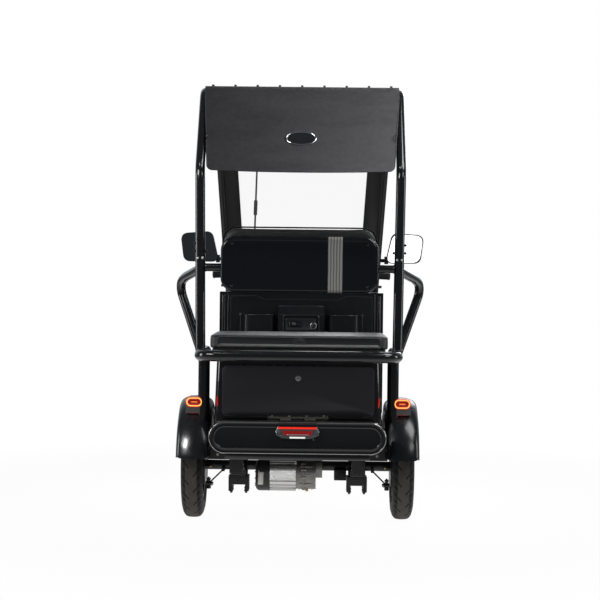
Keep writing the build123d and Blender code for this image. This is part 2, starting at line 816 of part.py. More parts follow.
inner_lip_h = ROOF_LIP_H - 100
sag_h = ROOF_LIP_H - ROOF_LIP_SAG
outside = canopy_form(
    [
        (CANOPY_FRONT, CANOPY_TOP - 40),
        (CANOPY_FRONT, CANOPY_TOP),
        (ROOF_CREASE, CANOPY_TOP),
        (slope_ahead(sag_h, 0), sag_h),
    ],
    [(1, 14), (2, 40)],
)
inside = canopy_form(
    [
        (CANOPY_FRONT - ROOF_T, inner_lip_h),
        (CANOPY_FRONT - ROOF_T, CANOPY_TOP - ROOF_T),
        (slope_ahead(CANOPY_TOP - ROOF_T, ROOF_T), CANOPY_TOP - ROOF_T),
        (slope_ahead(inner_lip_h, ROOF_T), inner_lip_h),
    ],
    [(1, 14 - ROOF_T), (2, 40 - ROOF_T)],
)
lip = ThreePointArc((-ROOF_LIP_HALF_W, ROOF_LIP_H), (0, sag_h), (ROOF_LIP_HALF_W, ROOF_LIP_H))
edge = lip + Polyline(
    lip @ 1,
    (ROOF_HALF_W, ROOF_TUBE_H - 20),
    (ROOF_HALF_W, CANOPY_TOP + 50),
    (-ROOF_HALF_W, CANOPY_TOP + 50),
    (-ROOF_HALF_W, ROOF_TUBE_H - 20),
    lip @ 0,
)
across = make_face(edge)
across = fillet(across.vertices().sort_by(Axis.Y)[:2], ROOF_LIP_CORNER)
trim = extrude(Plane.XZ * across, amount=2000, both=True)
canopy = (outside - inside) & trim
ribs = [
    block(
        x - RIB_W / 2, x + RIB_W / 2, ROOF_CREASE + 15, ROOF_FRONT, CANOPY_TOP - 1, CANOPY_TOP + RIB_H
    )
    for x in [RIB_PITCH * (i - (RIB_COUNT - 1) / 2) for i in range(RIB_COUNT)]
]
keep("canopy_panel", canopy + ribs)

BADGE_H = 1476.0
badge_ahead = slope_ahead(BADGE_H, 0)
badge_plane = Plane(
    origin=at(0, badge_ahead, BADGE_H), x_dir=(1, 0, 0), z_dir=(0, -sin(SLOPE), cos(SLOPE))
)
keep("canopy_badge", extrude(badge_plane.offset(FIT) * Ellipse(60, 36), 5))

# ---------------------------------------------------------------- backrest
def cushion_block(half_w, z0, z1, ahead0, ahead1, corner):
    face = Plane(origin=at(0, ahead1, (z0 + z1) / 2), x_dir=(1, 0, 0), z_dir=(0, -1, 0))
    return extrude(face * RectangleRounded(2 * half_w, z1 - z0, corner), ahead1 - ahead0)


bar_way = rod_x(CROSSBAR_R + FIT, -BACK_HALF_W - 5, BACK_HALF_W + 5, -POST_BACK, CROSSBAR_H)
back_shell = cushion_block(
    BACK_HALF_W, BACK_BOTTOM, BACK_SHELL_TOP, -BACK_REAR, -BACK_SPLIT - FIT, BACK_CORNER_R
)
back_shell = fillet(back_shell.faces().sort_by(Axis.Y)[0].edges(), BACK_EDGE_R)
keep("backrest_shell", back_shell - bar_way)
keep(
    "backrest_cushion",
    cushion_block(
        BACK_HALF_W - 4, BACK_BOTTOM + 4, BACK_TOP, -BACK_SPLIT, -BACK_FRONT, BACK_CORNER_R
    )
    - bar_way,
)

# ---------------------------------------------------------------- seat, hinged along its front edge
SEAT_HINGE_AHEAD = SEAT_FRONT + 6
SEAT_HINGE_H = TUB_TOP - 3
side = make_face(
    Polyline(
        at(0, -SEAT_BACK, SEAT_BOTTOM),
        at(0, -SEAT_BACK + SEAT_SLANT, SEAT_H),
        at(0, SEAT_FRONT, SEAT_H),
        at(0, SEAT_FRONT, SEAT_BOTTOM),
        close=True,
    )
)
cushion = extrude(side, amount=SEAT_HALF_W, both=True, dir=(1, 0, 0))
cushion = fillet(cushion.edges().filter_by(Axis.X).group_by(Axis.Z)[-1], SEAT_EDGE_R)
keep("seat_cushion", cushion)
keep(
    "seat_pan",
    block(
        -SEAT_HALF_W + PAN_INSET,
        SEAT_HALF_W - PAN_INSET,
        -SEAT_BACK,
        SEAT_FRONT - PAN_INSET,
        TUB_TOP + FIT,
        SEAT_BOTTOM,
    ),
)
hinge = block(-120, 120, TUB_FRONT, TUB_FRONT + 3, SEAT_HINGE_H - 30, SEAT_HINGE_H)
keep("seat_hinge", hinge + rod_x(4, -120, 120, SEAT_HINGE_AHEAD, SEAT_HINGE_H))

# ---------------------------------------------------------------- floor
keep(
    "floor_pan",
    block(-FLOOR_HALF_W, FLOOR_HALF_W, TUB_FRONT + FIT, DASH_BACK - FIT, RAIL_TOP, FLOOR_H),
)
keep(
    "floor_mat",
    block(
        -MAT_HALF_W,
        MAT_HALF_W,
        TUB_FRONT + MAT_EDGE,
        PEDAL_FOOT - PEDAL_ROD_R - MAT_EDGE,
        FLOOR_H,
        FLOOR_H + MAT_T,
    ),
)
pedal = tube(
    [
        at(PEDAL_X, PEDAL_FOOT, FLOOR_H),
        at(PEDAL_X, PEDAL_FOOT, PEDAL_KNEE_H),
        at(PEDAL_X, PEDAL_PLATE_AHEAD, PEDAL_PLATE_H),
    ],
    PEDAL_ROD_R,
    [PEDAL_BEND_R],
)
pedal_plate = Pos(*at(PEDAL_X, PEDAL_PLATE_AHEAD - 10, PEDAL_PLATE_H + 2)) * Rot(-35, 0, 0)
keep("brake_pedal", pedal + pedal_plate * Box(70, 80, 8))

# ---------------------------------------------------------------- front shield
SHIELD_SIDE = [
    (DASH_BACK, SHIELD_BOTTOM),
    (DASH_BACK, DASH_TOP),
    (DASH_BACK + SHIELD_TOP_D, DASH_TOP),
    (DASH_BACK + 310, 610),
    (DASH_BACK + 325, 505),
    (DASH_BACK + 200, 472),
    (DASH_BACK + 70, SHIELD_BOTTOM),
]
SHIELD_PLAN = [
    (-DASH_HALF_W, DASH_BACK),
    (DASH_HALF_W, DASH_BACK),
    (DASH_HALF_W, DASH_BACK + 130),
    (265, DASH_BACK + 262),
    (130, DASH_BACK + 330),
    (-130, DASH_BACK + 330),
    (-265, DASH_BACK + 262),
    (-DASH_HALF_W, DASH_BACK + 130),
]
SIDE_ROUNDS = {2: 60.0, 3: 90.0, 4: 24.0}  # corner of SHIELD_SIDE: radius
PLAN_ROUNDS = {2: 90.0, 3: 120.0, 4: 160.0, 5: 160.0, 6: 120.0, 7: 90.0}


def rounded(points, rounds):
    """A face with some of its corners rounded."""
    face = make_face(Polyline(*points, close=True))
    for corner, radius in rounds.items():
        spot = face.vertices().sort_by_distance(points[corner])[0]
        face = fillet(spot, radius)
    return face


def shield_form(shrink):
    """The shield's outside, or a form inside it by a distance."""
    side_face = rounded([at(0, a, z) for a, z in SHIELD_SIDE], SIDE_ROUNDS)
    plan_face = rounded([at(x, a, 0) for x, a in SHIELD_PLAN], PLAN_ROUNDS)
    if shrink:
        side_face = offset(side_face, amount=-shrink, kind=Kind.INTERSECTION)
        plan_face = offset(plan_face, amount=-shrink, kind=Kind.INTERSECTION)
    across = extrude(side_face, amount=600, both=True, dir=(1, 0, 0))
    return across & extrude(plan_face, amount=1200, dir=(0, 0, 1))


shield = shield_form(0) - shield_form(SHIELD_T)
back_way = block(
    -SHIELD_RAIL_X,
    SHIELD_RAIL_X,
    DASH_BACK - 5,
    DASH_BACK + 30,
    SHIELD_BOTTOM + SHIELD_T,
    DASH_TOP - SHIELD_T,
)
column_way = block(-45, 45, DASH_BACK + 30, DASH_BACK + 118, DASH_TOP - 60, DASH_TOP + 10)
neck_way = block(
    -NECK_WAY_HALF,
    NECK_WAY_HALF,
    DASH_BACK + 10,
    DASH_BACK + NECK_WAY_FRONT,
    SHIELD_BOTTOM - 45,
    NECK_WAY_TOP,
)
keep("front_shield", shield - back_way - column_way - neck_way)

DASH_FACE = DASH_BACK + 2  # rear face of the dash, a little inside its rails
keep(
    "dash_panel",
    block(
        -SHIELD_RAIL_X + FIT,
        SHIELD_RAIL_X - FIT,
        DASH_FACE,
        DASH_FACE + DASH_T,
        SHIELD_BOTTOM + SHIELD_T + FIT,
        DASH_TOP - SHIELD_T - FIT,
    ),
)


def pocket():
    """A bin open at its top, with its rear corners rounded."""
    front = DASH_FACE - FIT
    back = front - POCKET_PROUD
    body = block(POCKET_IN_X, POCKET_OUT_X, back, front, POCKET_TOP - POCKET_DEEP, POCKET_TOP)
    corners = body.edges().filter_by(Axis.Z).group_by(Axis.Y)[0]
    body = fillet(corners, POCKET_ROUND)
    return offset(body, amount=-POCKET_WALL, openings=body.faces().sort_by(Axis.Z)[-1])


keep("dash_pockets", pair(pocket))

CONSOLE_BACK = DASH_FACE - FIT - CONSOLE_D
hood = make_face(
    Polyline(
        at(0, DASH_FACE - FIT, CONSOLE_BOTTOM),
        at(0, DASH_FACE - FIT, CONSOLE_TOP),
        at(0, CONSOLE_BACK + 26, CONSOLE_TOP),
        at(0, CONSOLE_BACK, CONSOLE_TOP - CONSOLE_HOOD),
        at(0, CONSOLE_BACK, CONSOLE_BOTTOM),
        close=True,
    )
)
console = extrude(hood, amount=CONSOLE_HALF_W, both=True, dir=(1, 0, 0))
inside_w = CONSOLE_HALF_W - CONSOLE_WALL
console = console - block(
    -inside_w,
    inside_w,
    CONSOLE_BACK + 26,
    DASH_FACE + 5,
    CONSOLE_BOTTOM + CONSOLE_WALL,
    CONSOLE_TOP - CONSOLE_WALL,
)
face_half = CONSOLE_HALF_W - CONSOLE_RIM
face_top = CONSOLE_TOP - CONSOLE_HOOD - 4
face_back = CONSOLE_BACK + CONSOLE_RECESS
console = console - block(
    -face_half, face_half, CONSOLE_BACK - 5, face_back, CONSOLE_FACE_LOW, face_top
)
keep("console", console)
keep(
    "key_switch",
    Pos(*at(KEY_X, face_back - FIT - KEY_T / 2, KEY_H)) * Rot(90, 0, 0) * Cylinder(KEY_R, KEY_T),
)

# ---------------------------------------------------------------- windscreen
foot = Vector(*at(PILLAR_FOOT_X, PILLAR_FOOT_FRONT, DASH_TOP + FIT))
head = Vector(*at(PILLAR_HEAD_X, FRONT_CROSS, PILLAR_HEAD_H))
rise = Vector(0, head.Y - foot.Y, head.Z - foot.Z)
GLASS_TILT = atan2(-rise.Y, rise.Z)


def pillar_bar(grow):
    """The pillar's tube and flat, past both ends, grown by a distance."""
    run = head - foot
    start = foot - run * 0.1
    tube_section = Pos(PILLAR_TUBE_OUT, 0) * Circle(PILLAR_TUBE_R + grow)
    flat_x = PILLAR_TUBE_OUT - PILLAR_TUBE_R + 5 - PILLAR_FLAT_W / 2
    flat_section = Pos(flat_x, 0) * Rectangle(PILLAR_FLAT_W + 2 * grow, PILLAR_FLAT_T + 2 * grow)
    plane = Plane(origin=start, x_dir=(1, 0, 0), z_dir=run.normalized())
    return extrude(plane * (tube_section + flat_section), run.length * 1.2)


def pillar():
    bar = pillar_bar(0) & block(
        0, POST_X + POST_R, 0, PILLAR_FOOT_FRONT + 50, DASH_TOP + FIT, PILLAR_HEAD_H - FIT
    )
    return bar - canopy_tube(POST_R + FIT)


keep("windscreen_pillars", pair(pillar))

glass_plane = Plane(
    origin=at(0, PILLAR_FOOT_FRONT, DASH_TOP),
    x_dir=(1, 0, 0),
    z_dir=(0, -cos(GLASS_TILT), -sin(GLASS_TILT)),
)
reach = rise.length
glass = make_face(
    Polyline(
        (-PILLAR_FOOT_X + 20, 6),
        (PILLAR_FOOT_X - 20, 6),
        (PILLAR_HEAD_X - 20, reach - 12),
        (-PILLAR_HEAD_X + 20, reach - 12),
        close=True,
    )
)
GLASS_BACK = PILLAR_FLAT_T / 2 + FIT + GLASS_T
keep("windscreen", extrude(glass_plane.offset(-GLASS_BACK) * glass, GLASS_T))

wiper_line = glass_plane.offset(-GLASS_BACK - WIPER_OFF)


def on_glass(x, height):
    along = (height - DASH_TOP) / cos(GLASS_TILT)
    return wiper_line.from_local_coords((x, along, 0))


wiper_tip, wiper_head = on_glass(WIPER_TIP_X, WIPER_TIP_H), on_glass(WIPER_HEAD_X, WIPER_HEAD_H)
wiper_run = wiper_head - wiper_tip
joint = [wiper_tip + wiper_run * share for share in (WIPER_JOINT_LOW, WIPER_JOINT_HIGH)]
wiper = tube([wiper_tip, wiper_head], WIPER_ARM_R) + tube(joint, WIPER_JOINT_R)
spindle = Plane(origin=wiper_head, x_dir=(1, 0, 0), z_dir=wiper_line.z_dir) * Circle(WIPER_SPINDLE_R)
wiper = wiper + extrude(spindle, WIPER_OFF - FIT) + extrude(spindle, -6)
keep("wiper", wiper)

# ---------------------------------------------------------------- mirrors
def mirror_right():
    """A mirror's case and the arm that holds it by its lower inner corner to the pillar."""
    middle = at(MIRROR_X, MIRROR_FRONT + MIRROR_D, MIRROR_H)
    face = Plane(origin=middle, x_dir=(1, 0, 0), z_dir=(0, -1, 0))
    outline = rounded(MIRROR_SHAPE, {i: MIRROR_CORNER_R for i in range(4)})
    case = extrude(face * outline, MIRROR_D)
    arm_h = MIRROR_H + MIRROR_SHAPE[-1][1] + 20
    arm_in = MIRROR_X + MIRROR_SHAPE[-1][0]
    lug = block(arm_in - 2, arm_in + 14, MIRROR_FRONT + 8, MIRROR_FRONT + 44, arm_h - 22, arm_h + 12)
    arm_from = at(PILLAR_FOOT_X + 20, MIRROR_FRONT + 44, arm_h - 6)
    arm = tube([arm_from, at(arm_in + 8, MIRROR_FRONT + 32, arm_h - 6)], MIRROR_ARM_R)
    arm = (arm - pillar_bar(FIT)).solids().sort_by(Axis.X)[-1]
    return case + lug + arm


keep("mirrors", pair(mirror_right))

# ---------------------------------------------------------------- head frame
neck = steer_rod(HEAD_TUBE_R, HEAD_LOW, HEAD_HIGH)
strut_foot = Vector(*at(0, RAIL_FRONT - 20, RAIL_TOP - 30))
strut = tube([steer_at(STRUT_TOP_H), strut_foot], STRUT_R)
behind = block(-60, 60, RAIL_FRONT - 145, RAIL_FRONT, RAIL_BOTTOM - 80, RAIL_TOP + 80)
neck = neck + strut - steer_rod(STEER_TUBE_R + FIT, HEAD_LOW - 60, HEAD_HIGH + 60) - behind
keep("head_frame", neck.solids().sort_by(SortBy.VOLUME)[-1])

# ---------------------------------------------------------------- fork, front mudguard, handlebar
crown_plane = Plane(origin=steer_at(CROWN_H), x_dir=(1, 0, 0), z_dir=STEER_DIR)
crown = crown_plane * Pos(0, FORK_OFFSET / 2, 0) * Box(
    2 * FORK_HALF_W + 2 * FORK_LEG_R, FORK_OFFSET + 50, CROWN_T
)


def leg_rod(side, radius):
    out = Vector(side * FORK_HALF_W, 0, 0)
    low = Vector(0, FRONT_Y, AXLE_H) + out - STEER_DIR * 22
    high = steer_at(CROWN_H) + STEER_AHEAD * FORK_OFFSET + out
    return tube([low, high], radius)


legs = [leg_rod(side, FORK_LEG_R) for side in (-1, 1)]
pin = rod_x(STUB_R, -FORK_HALF_W, FORK_HALF_W, WHEELBASE, AXLE_H)
stem = steer_rod(STEER_TUBE_R, CROWN_H, STEM_TOP_H)
keep("front_fork", crown + legs + pin + stem)


def guard_hood(radius, half, lip):
    return [
        (radius - lip, -half),
        (radius - 8, -half + 4),
        (radius, -half + 20),
        (radius, half - 20),
        (radius - 8, half - 4),
        (radius - lip, half),
    ]


front_guard = arch(
    guard_hood(GUARD_R, GUARD_HALF_W, 24), 0, WHEELBASE, GUARD_FRONT, GUARD_BACK
) - arch(
    guard_hood(GUARD_R - GUARD_T, GUARD_HALF_W - GUARD_T, 60),
    0,
    WHEELBASE,
    GUARD_FRONT - 5,
    GUARD_BACK + 5,
)
for side in (-1, 1):
    x0, x1 = sorted((side * (GUARD_HALF_W - 4), side * (FORK_HALF_W - FORK_LEG_R / 2)))
    seat = crown_plane.offset(-(CROWN_H - AXLE_H) / STEER_DIR.Z + GUARD_R - 28)
    ear = seat * Pos((x0 + x1) / 2, FORK_OFFSET, 0) * Box(x1 - x0, 26, 14)
    front_guard = front_guard + (ear - leg_rod(side, FORK_LEG_R + FIT))
keep("front_mudguard", front_guard)

BAR_MID_AHEAD = steer_at(BAR_MID_H).Y - REAR_Y - BAR_SETBACK
GRIP_IN = Vector(*at(GRIP_IN_X, GRIP_BACK + GRIP_SWEEP, BAR_H + GRIP_DROP))
GRIP_OUT = Vector(*at(GRIP_END_X, GRIP_BACK, BAR_H))
GRIP_RUN = (GRIP_OUT - GRIP_IN).normalized()
bar_right = [
    Vector(*at(BAR_MID_HALF, BAR_MID_AHEAD, BAR_MID_H)),
    GRIP_IN,
    GRIP_OUT - GRIP_RUN * (GRIP_CAP_T + FIT),
]
bar_left = [Vector(-p.X, p.Y, p.Z) for p in reversed(bar_right)]
bar = tube(bar_left + bar_right, BAR_R, [BAR_BEND_R] * 4)
bar_mid = Vector(*at(0, BAR_MID_AHEAD, BAR_MID_H))


def stem_clamp(grow):
    """The clamp between stem and bar, grown by a distance."""
    low, high = STEM_TOP_H - STEM_CLAMP_T - grow, STEM_TOP_H + 6 + grow
    half = STEM_CLAMP_HALF + grow
    collar = steer_rod(STEM_CLAMP_R + grow, low, high)
    collar = collar + tube([steer_at(STEM_TOP_H - 12), bar_mid], STEM_CLAMP_R - 5 + grow)
    return collar + rod_x(STEM_CLAMP_R - 3 + grow, -half, half, BAR_MID_AHEAD, BAR_MID_H)


way = steer_rod(STEER_TUBE_R + FIT, CROWN_H, STEM_TOP_H + FIT)
keep("handlebar", bar + stem_clamp(0) - way)


def grip():
    sleeve = tube([GRIP_OUT - GRIP_RUN * GRIP_LEN, GRIP_OUT], GRIP_R)
    return sleeve - tube([GRIP_IN, GRIP_OUT - GRIP_RUN * GRIP_CAP_T], BAR_R + FIT)


keep("grips", pair(grip))


def flat_bar(start, end, wide, thick):
    """A straight flat bar, its width level."""
    run = end - start
    plane = Plane(origin=start, x_dir=run.cross(Vector(0, 0, 1)), z_dir=run)
    return extrude(plane * Rectangle(wide, thick), run.length)


def lever():
    """A brake lever on its perch, ending in a round knob."""
    perch_from = GRIP_IN + GRIP_RUN * 19
    perch = tube([perch_from, perch_from + GRIP_RUN * 19], BAR_R + 6)
    middle = perch_from + GRIP_RUN * 9.5
    pivot = middle + Vector(0, 44, -12)
    knob = Vector(*at(LEVER_BALL_X, GRIP_BACK + LEVER_BALL_FRONT, LEVER_BALL_H))
    neck = flat_bar(middle + Vector(0, 10, -3), pivot + Vector(0, 6, -1), 16, 12)
    blade = flat_bar(pivot, knob, LEVER_W, LEVER_T)
    tip = Pos(*knob) * Cylinder(LEVER_BALL_R, LEVER_T + 4)
    return perch + neck + blade + tip - tube([GRIP_IN, GRIP_OUT], BAR_R + FIT)


keep("brake_levers", pair(lever))
pod_spot = at(0, BAR_MID_AHEAD - POD_BACK, BAR_MID_H + POD_RISE)
pod = Pos(*pod_spot) * Rot(25, 0, 0) * Box(POD_W, POD_D, POD_T)
pod = pod - tube([bar_left[-1], bar_right[0]], BAR_R + FIT) - stem_clamp(FIT)
keep("instrument_pod", pod.solids().sort_by(SortBy.VOLUME)[-1])

light_middle = at(0, DASH_BACK + HEADLIGHT_FRONT - HEADLIGHT_D / 2, HEADLIGHT_H)
light = Pos(*light_middle) * Rot(90, 0, 0) * Cylinder(HEADLIGHT_R, HEADLIGHT_D)
keep("headlight", light - shield_form(-FIT))

for name, shape in PIECES.items():
    export_step(shape, f"parts/{name}.step")
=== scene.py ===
# %% [markdown]
# # An electric leisure tricycle, dressed for its portrait
# The construction comes ready made: every tube, panel and wheel is already in its place, in metres.
# This notebook gives those pieces their real surfaces, and builds the parts whose beauty is in soft
# curves or in small detail: padding, tyre tread, lamps, trim and fasteners.

# %% Loading the frame
import json
import math

import bmesh
import bpy
from mathutils import Matrix, Vector


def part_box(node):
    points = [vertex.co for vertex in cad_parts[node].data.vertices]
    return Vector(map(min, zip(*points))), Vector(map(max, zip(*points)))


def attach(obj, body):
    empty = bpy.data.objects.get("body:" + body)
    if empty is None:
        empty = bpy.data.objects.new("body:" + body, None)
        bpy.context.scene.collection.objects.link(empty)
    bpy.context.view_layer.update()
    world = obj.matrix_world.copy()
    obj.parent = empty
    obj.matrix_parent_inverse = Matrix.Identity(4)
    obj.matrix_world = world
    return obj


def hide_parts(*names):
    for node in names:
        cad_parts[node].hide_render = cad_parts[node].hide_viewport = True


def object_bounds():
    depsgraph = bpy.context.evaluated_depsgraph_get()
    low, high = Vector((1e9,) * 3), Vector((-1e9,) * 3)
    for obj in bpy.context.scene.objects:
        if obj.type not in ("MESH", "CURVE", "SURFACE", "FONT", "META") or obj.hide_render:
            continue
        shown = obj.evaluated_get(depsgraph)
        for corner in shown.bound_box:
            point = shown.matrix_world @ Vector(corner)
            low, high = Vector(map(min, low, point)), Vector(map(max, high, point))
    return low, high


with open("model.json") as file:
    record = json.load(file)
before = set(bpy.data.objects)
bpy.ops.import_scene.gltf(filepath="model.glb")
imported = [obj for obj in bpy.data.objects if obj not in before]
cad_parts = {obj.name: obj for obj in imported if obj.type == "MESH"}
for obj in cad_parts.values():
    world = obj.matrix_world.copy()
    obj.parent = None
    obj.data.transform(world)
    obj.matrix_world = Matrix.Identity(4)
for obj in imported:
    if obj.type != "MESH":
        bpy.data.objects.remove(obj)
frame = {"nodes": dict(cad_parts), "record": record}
cad_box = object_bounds()
MM = 0.001

# %% [markdown]
# Every place on the vehicle is told from the rear axle, because the wheels, the lamps and the rails
# are all set out from it in a workshop. `spot` turns such a place, in millimetres, into a point.

# %% Places told from the rear axle
axle_low, axle_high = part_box("rear_left_tyre")
AXLE_Y = (axle_low.y + axle_high.y) / 2
AXLE_Z = (axle_low.z + axle_high.z) / 2
TYRE_RADIUS = (axle_high.z - axle_low.z) / 2


def spot(x, ahead, height):
    """A point x across, so far ahead of the rear axle, and so high, all in millimetres."""
    return Vector((x * MM, AXLE_Y + ahead * MM, height * MM))


print("rear axle at y", round(AXLE_Y, 4), "z", round(AXLE_Z, 4), "tyre radius", TYRE_RADIUS)

# %% [markdown]
# ## The camera
# A long lens from far behind, a little above the middle of the vehicle, keeps both side tubes nearly
# parallel. The camera leans a fraction of a degree, as a hand-set tripod does.

# %% The camera
CAMERA_BACK = 6500
CAMERA_X = 60
CAMERA_HEIGHT = 960
YAW, PITCH, ROLL = 0.52, -0.941, 0.62

camera_data = bpy.data.cameras.new("portrait")
camera_data.sensor_width = 36
camera_data.lens = 99.7
camera = bpy.data.objects.new("portrait", camera_data)
bpy.context.scene.collection.objects.link(camera)
turn = (
    Matrix.Rotation(math.radians(YAW), 4, "Z")
    @ Matrix.Rotation(math.radians(90 + PITCH), 4, "X")
    @ Matrix.Rotation(math.radians(ROLL), 4, "Z")
)
camera.matrix_world = Matrix.Translation(spot(CAMERA_X, -CAMERA_BACK, CAMERA_HEIGHT)) @ turn
bpy.context.scene.camera = camera
print("camera", [round(v, 3) for v in camera.location])

# %% [markdown]
# ## Node trees
# The room, the floor and every finish are node trees. A few helpers add a node, feed it, and stand for
# the sums and ranges that come again and again.

# %% Building node trees
def fed(tree, node, inputs):
    """Feeds a node: an input is linked when it is a socket, and set when it is a value."""
    for socket, value in inputs.items():
        if isinstance(value, bpy.types.NodeSocket):
            tree.links.new(value, node.inputs[socket])
        else:
            node.inputs[socket].default_value = value
    return node


def add(tree, kind, inputs=None, **settings):
    """Adds a shader node with its settings, and feeds it."""
    made = tree.nodes.new("ShaderNode" + kind)
    for key, value in settings.items():
        setattr(made, key, value)
    return fed(tree, made, inputs or {})


def use(tree, group, inputs):
    """Places a node group in a tree and returns its outputs."""
    return add(tree, "Group", inputs, node_tree=group).outputs


def maths(tree, operation, first, second=0.5):
    """A sum of two values."""
    return add(tree, "Math", {0: first, 1: second}, operation=operation).outputs[0]


def ranged(tree, value, old=(0.0, 1.0), new=(0.0, 1.0), kind="LINEAR"):
    """A value carried from one range to another."""
    low, high = new
    inputs = {"Value": value, "From Min": old[0], "From Max": old[1], "To Min": low, "To Max": high}
    return add(tree, "MapRange", inputs, interpolation_type=kind).outputs[0]


def mixed(tree, share, first, second):
    """A blend of two values."""
    return add(tree, "Mix", {0: share, 2: first, 3: second}).outputs[0]


def mixed_colour(tree, share, first, second):
    """A blend of two colours."""
    return add(tree, "Mix", {0: share, "A": first, "B": second}, data_type="RGBA").outputs["Result"]


def bumped(tree, height, depth, strength=1.0):
    """A normal from a height; the depth is in millimetres."""
    inputs = {"Height": height, "Distance": depth * MM, "Strength": strength}
    return add(tree, "Bump", inputs).outputs[0]


def new_group(name, inputs, outputs):
    """A node group with named sockets; returns its tree, its inner inputs and its inner outputs."""
    tree = bpy.data.node_groups.new(name, "ShaderNodeTree")
    for label, kind, value in inputs:
        socket = tree.interface.new_socket(label, in_out="INPUT", socket_type="NodeSocket" + kind)
        if value is not None:
            socket.default_value = value
    for label, kind in outputs:
        tree.interface.new_socket(label, in_out="OUTPUT", socket_type="NodeSocket" + kind)
    return tree, tree.nodes.new("NodeGroupInput").outputs, tree.nodes.new("NodeGroupOutput").inputs


# %% [markdown]
# ## The studio
# Black gloss shows its surroundings and little else, so the room is dark and built for reflections: a
# strong box at the left, a weaker one at the right, a tall one beyond each flank, one overhead and to
# the right that shades the canopy from side to side, one ahead, and two narrow strips that draw the
# crisp glints on round bars. The wall ahead of the vehicle is light, so every round edge carries a
# thin rim. The backdrop is pure white only where the camera, or a ray through the windscreen, looks
# at it.

# %% The studio
scene = bpy.context.scene
scene.view_settings.view_transform = "Standard"


def looked_at(tree):
    """A value of 1 on the rays that look at the background straight or through a pane."""
    path = add(tree, "LightPath").outputs
    rays = {0: path["Is Camera Ray"], 1: path["Is Transmission Ray"]}
    return add(tree, "Math", rays, operation="MAXIMUM").outputs[0]


world = bpy.data.worlds.new("white room")
scene.world = world
world.use_nodes = True
tree = world.node_tree
toward = add(tree, "SeparateXYZ", {0: add(tree, "TexCoord").outputs["Generated"]})
dusk = ranged(tree, toward.outputs["Y"], (0.45, 0.85), (0.09, 0.6))
room = fed(tree, tree.nodes["Background"], {"Color": (0.86, 0.93, 1.0, 1), "Strength": dusk})
white = add(tree, "Background", {"Color": (1, 1, 1, 1)})
backdrop = add(tree, "MixShader", {0: looked_at(tree), 1: room.outputs[0], 2: white.outputs[0]})
tree.links.new(backdrop.outputs[0], tree.nodes["World Output"].inputs["Surface"])


def soft_box(name, place, target, wide, tall, glow):
    """A rectangular lamp that faces a target; glow is how bright its face looks."""
    data = bpy.data.lights.new(name, "AREA")
    data.shape = "RECTANGLE"
    data.size, data.size_y = wide, tall
    data.energy = glow * math.pi * wide * tall
    lamp = bpy.data.objects.new(name, data)
    scene.collection.objects.link(lamp)
    lamp.location = place
    lamp.rotation_euler = (Vector(target) - Vector(place)).to_track_quat("-Z", "Y").to_euler()
    return lamp


def flagged(lamp, pieces, shaded=False):
    """Lets a lamp light only some pieces, or keeps it off them, as a flag does in a studio."""
    group = bpy.data.collections.new("flag of " + lamp.name)
    for piece in pieces:
        group.objects.link(piece)
    if shaded:
        for entry in group.collection_objects:
            entry.light_linking.link_state = "EXCLUDE"
    lamp.light_linking.receiver_collection = group


# name: (place, target, width, height, glow)
STUDIO = {
    "left box": ((-2.7, -3.1, 2.6), (-0.45, -0.9, 0.4), 1.9, 0.9, 9.0),
    "left edge box": ((-4.0, -0.6, 1.25), (-0.45, -0.9, 0.3), 0.8, 1.7, 6.0),
    "right box": ((2.7, -3.1, 2.6), (0.45, -0.9, 0.4), 1.3, 0.8, 4.0),
    "right edge box": ((4.0, -0.6, 1.2), (0.45, -0.9, 0.3), 0.8, 1.6, 4.0),
    "top box": ((2.3, -1.6, 3.9), (0.2, -0.6, 1.5), 1.7, 2.0, 6.5),
    "front box": ((1.2, 4.4, 2.6), (cad_box[0] + cad_box[1]) / 2, 2.6, 2.0, 3.0),
    "left strip": ((-0.85, -2.2, 3.2), (0, -0.8, 0.9), 0.75, 0.13, 15),
    "right strip": ((0.85, -2.2, 3.2), (0, -0.8, 0.9), 0.75, 0.13, 15),
}
lamp_named = {name: soft_box(name, *setting) for name, setting in STUDIO.items()}
print("studio:", len(STUDIO), "lamps")

# %% [markdown]
# ## The floor
# White studio paper. To the camera it is almost as white as the backdrop, and keeps only a trace of
# shadow under the wheels. In reflections it is a lit patch under the vehicle that fades into a dark
# room, so the metal of the drive is bright from below while upright panels stay black.

# %% The floor
bm = bmesh.new()
bmesh.ops.create_grid(bm, x_segments=1, y_segments=1, size=40)
floor_mesh = bpy.data.meshes.new("floor")
bm.to_mesh(floor_mesh)
bm.free()
floor = bpy.data.objects.new("floor", floor_mesh)
scene.collection.objects.link(floor)
paper = bpy.data.materials.new("paper")
paper.use_nodes = True
floor.data.materials.append(paper)
tree = paper.node_tree
sheet = tree.nodes["Principled BSDF"]
sheet.inputs["Base Color"].default_value = (0.25, 0.25, 0.255, 1)
sheet.inputs["Roughness"].default_value = 0.7
sheet.inputs["Emission Color"].default_value = (1, 0.99, 0.97, 1)
place = add(tree, "TexCoord").outputs["Object"]
reach = add(tree, "VectorMath", {0: place}, operation="LENGTH").outputs["Value"]
tree.links.new(ranged(tree, reach, (0.8, 2.6), (0.75, 0.02)), sheet.inputs["Emission Strength"])
fade = ranged(tree, reach, (0.9, 2.4), (0.9, 1.0))
share = maths(tree, "MULTIPLY", fade, looked_at(tree))
mix = add(tree, "MixShader", {0: share, 1: sheet.outputs[0], 2: add(tree, "Emission").outputs[0]})
tree.links.new(mix.outputs[0], tree.nodes["Material Output"].inputs["Surface"])
print("floor: white paper, 80 m across")

# %% [markdown]
# ## Shop helpers
# A finished piece is a mesh that sits at the origin with its place in its own points. `finished`
# turns a bmesh into one, gives it a material, lets it ride on a body, and prints its size.
# Smooth faces meet at a sharp edge wherever they turn by more than `sharp` degrees.

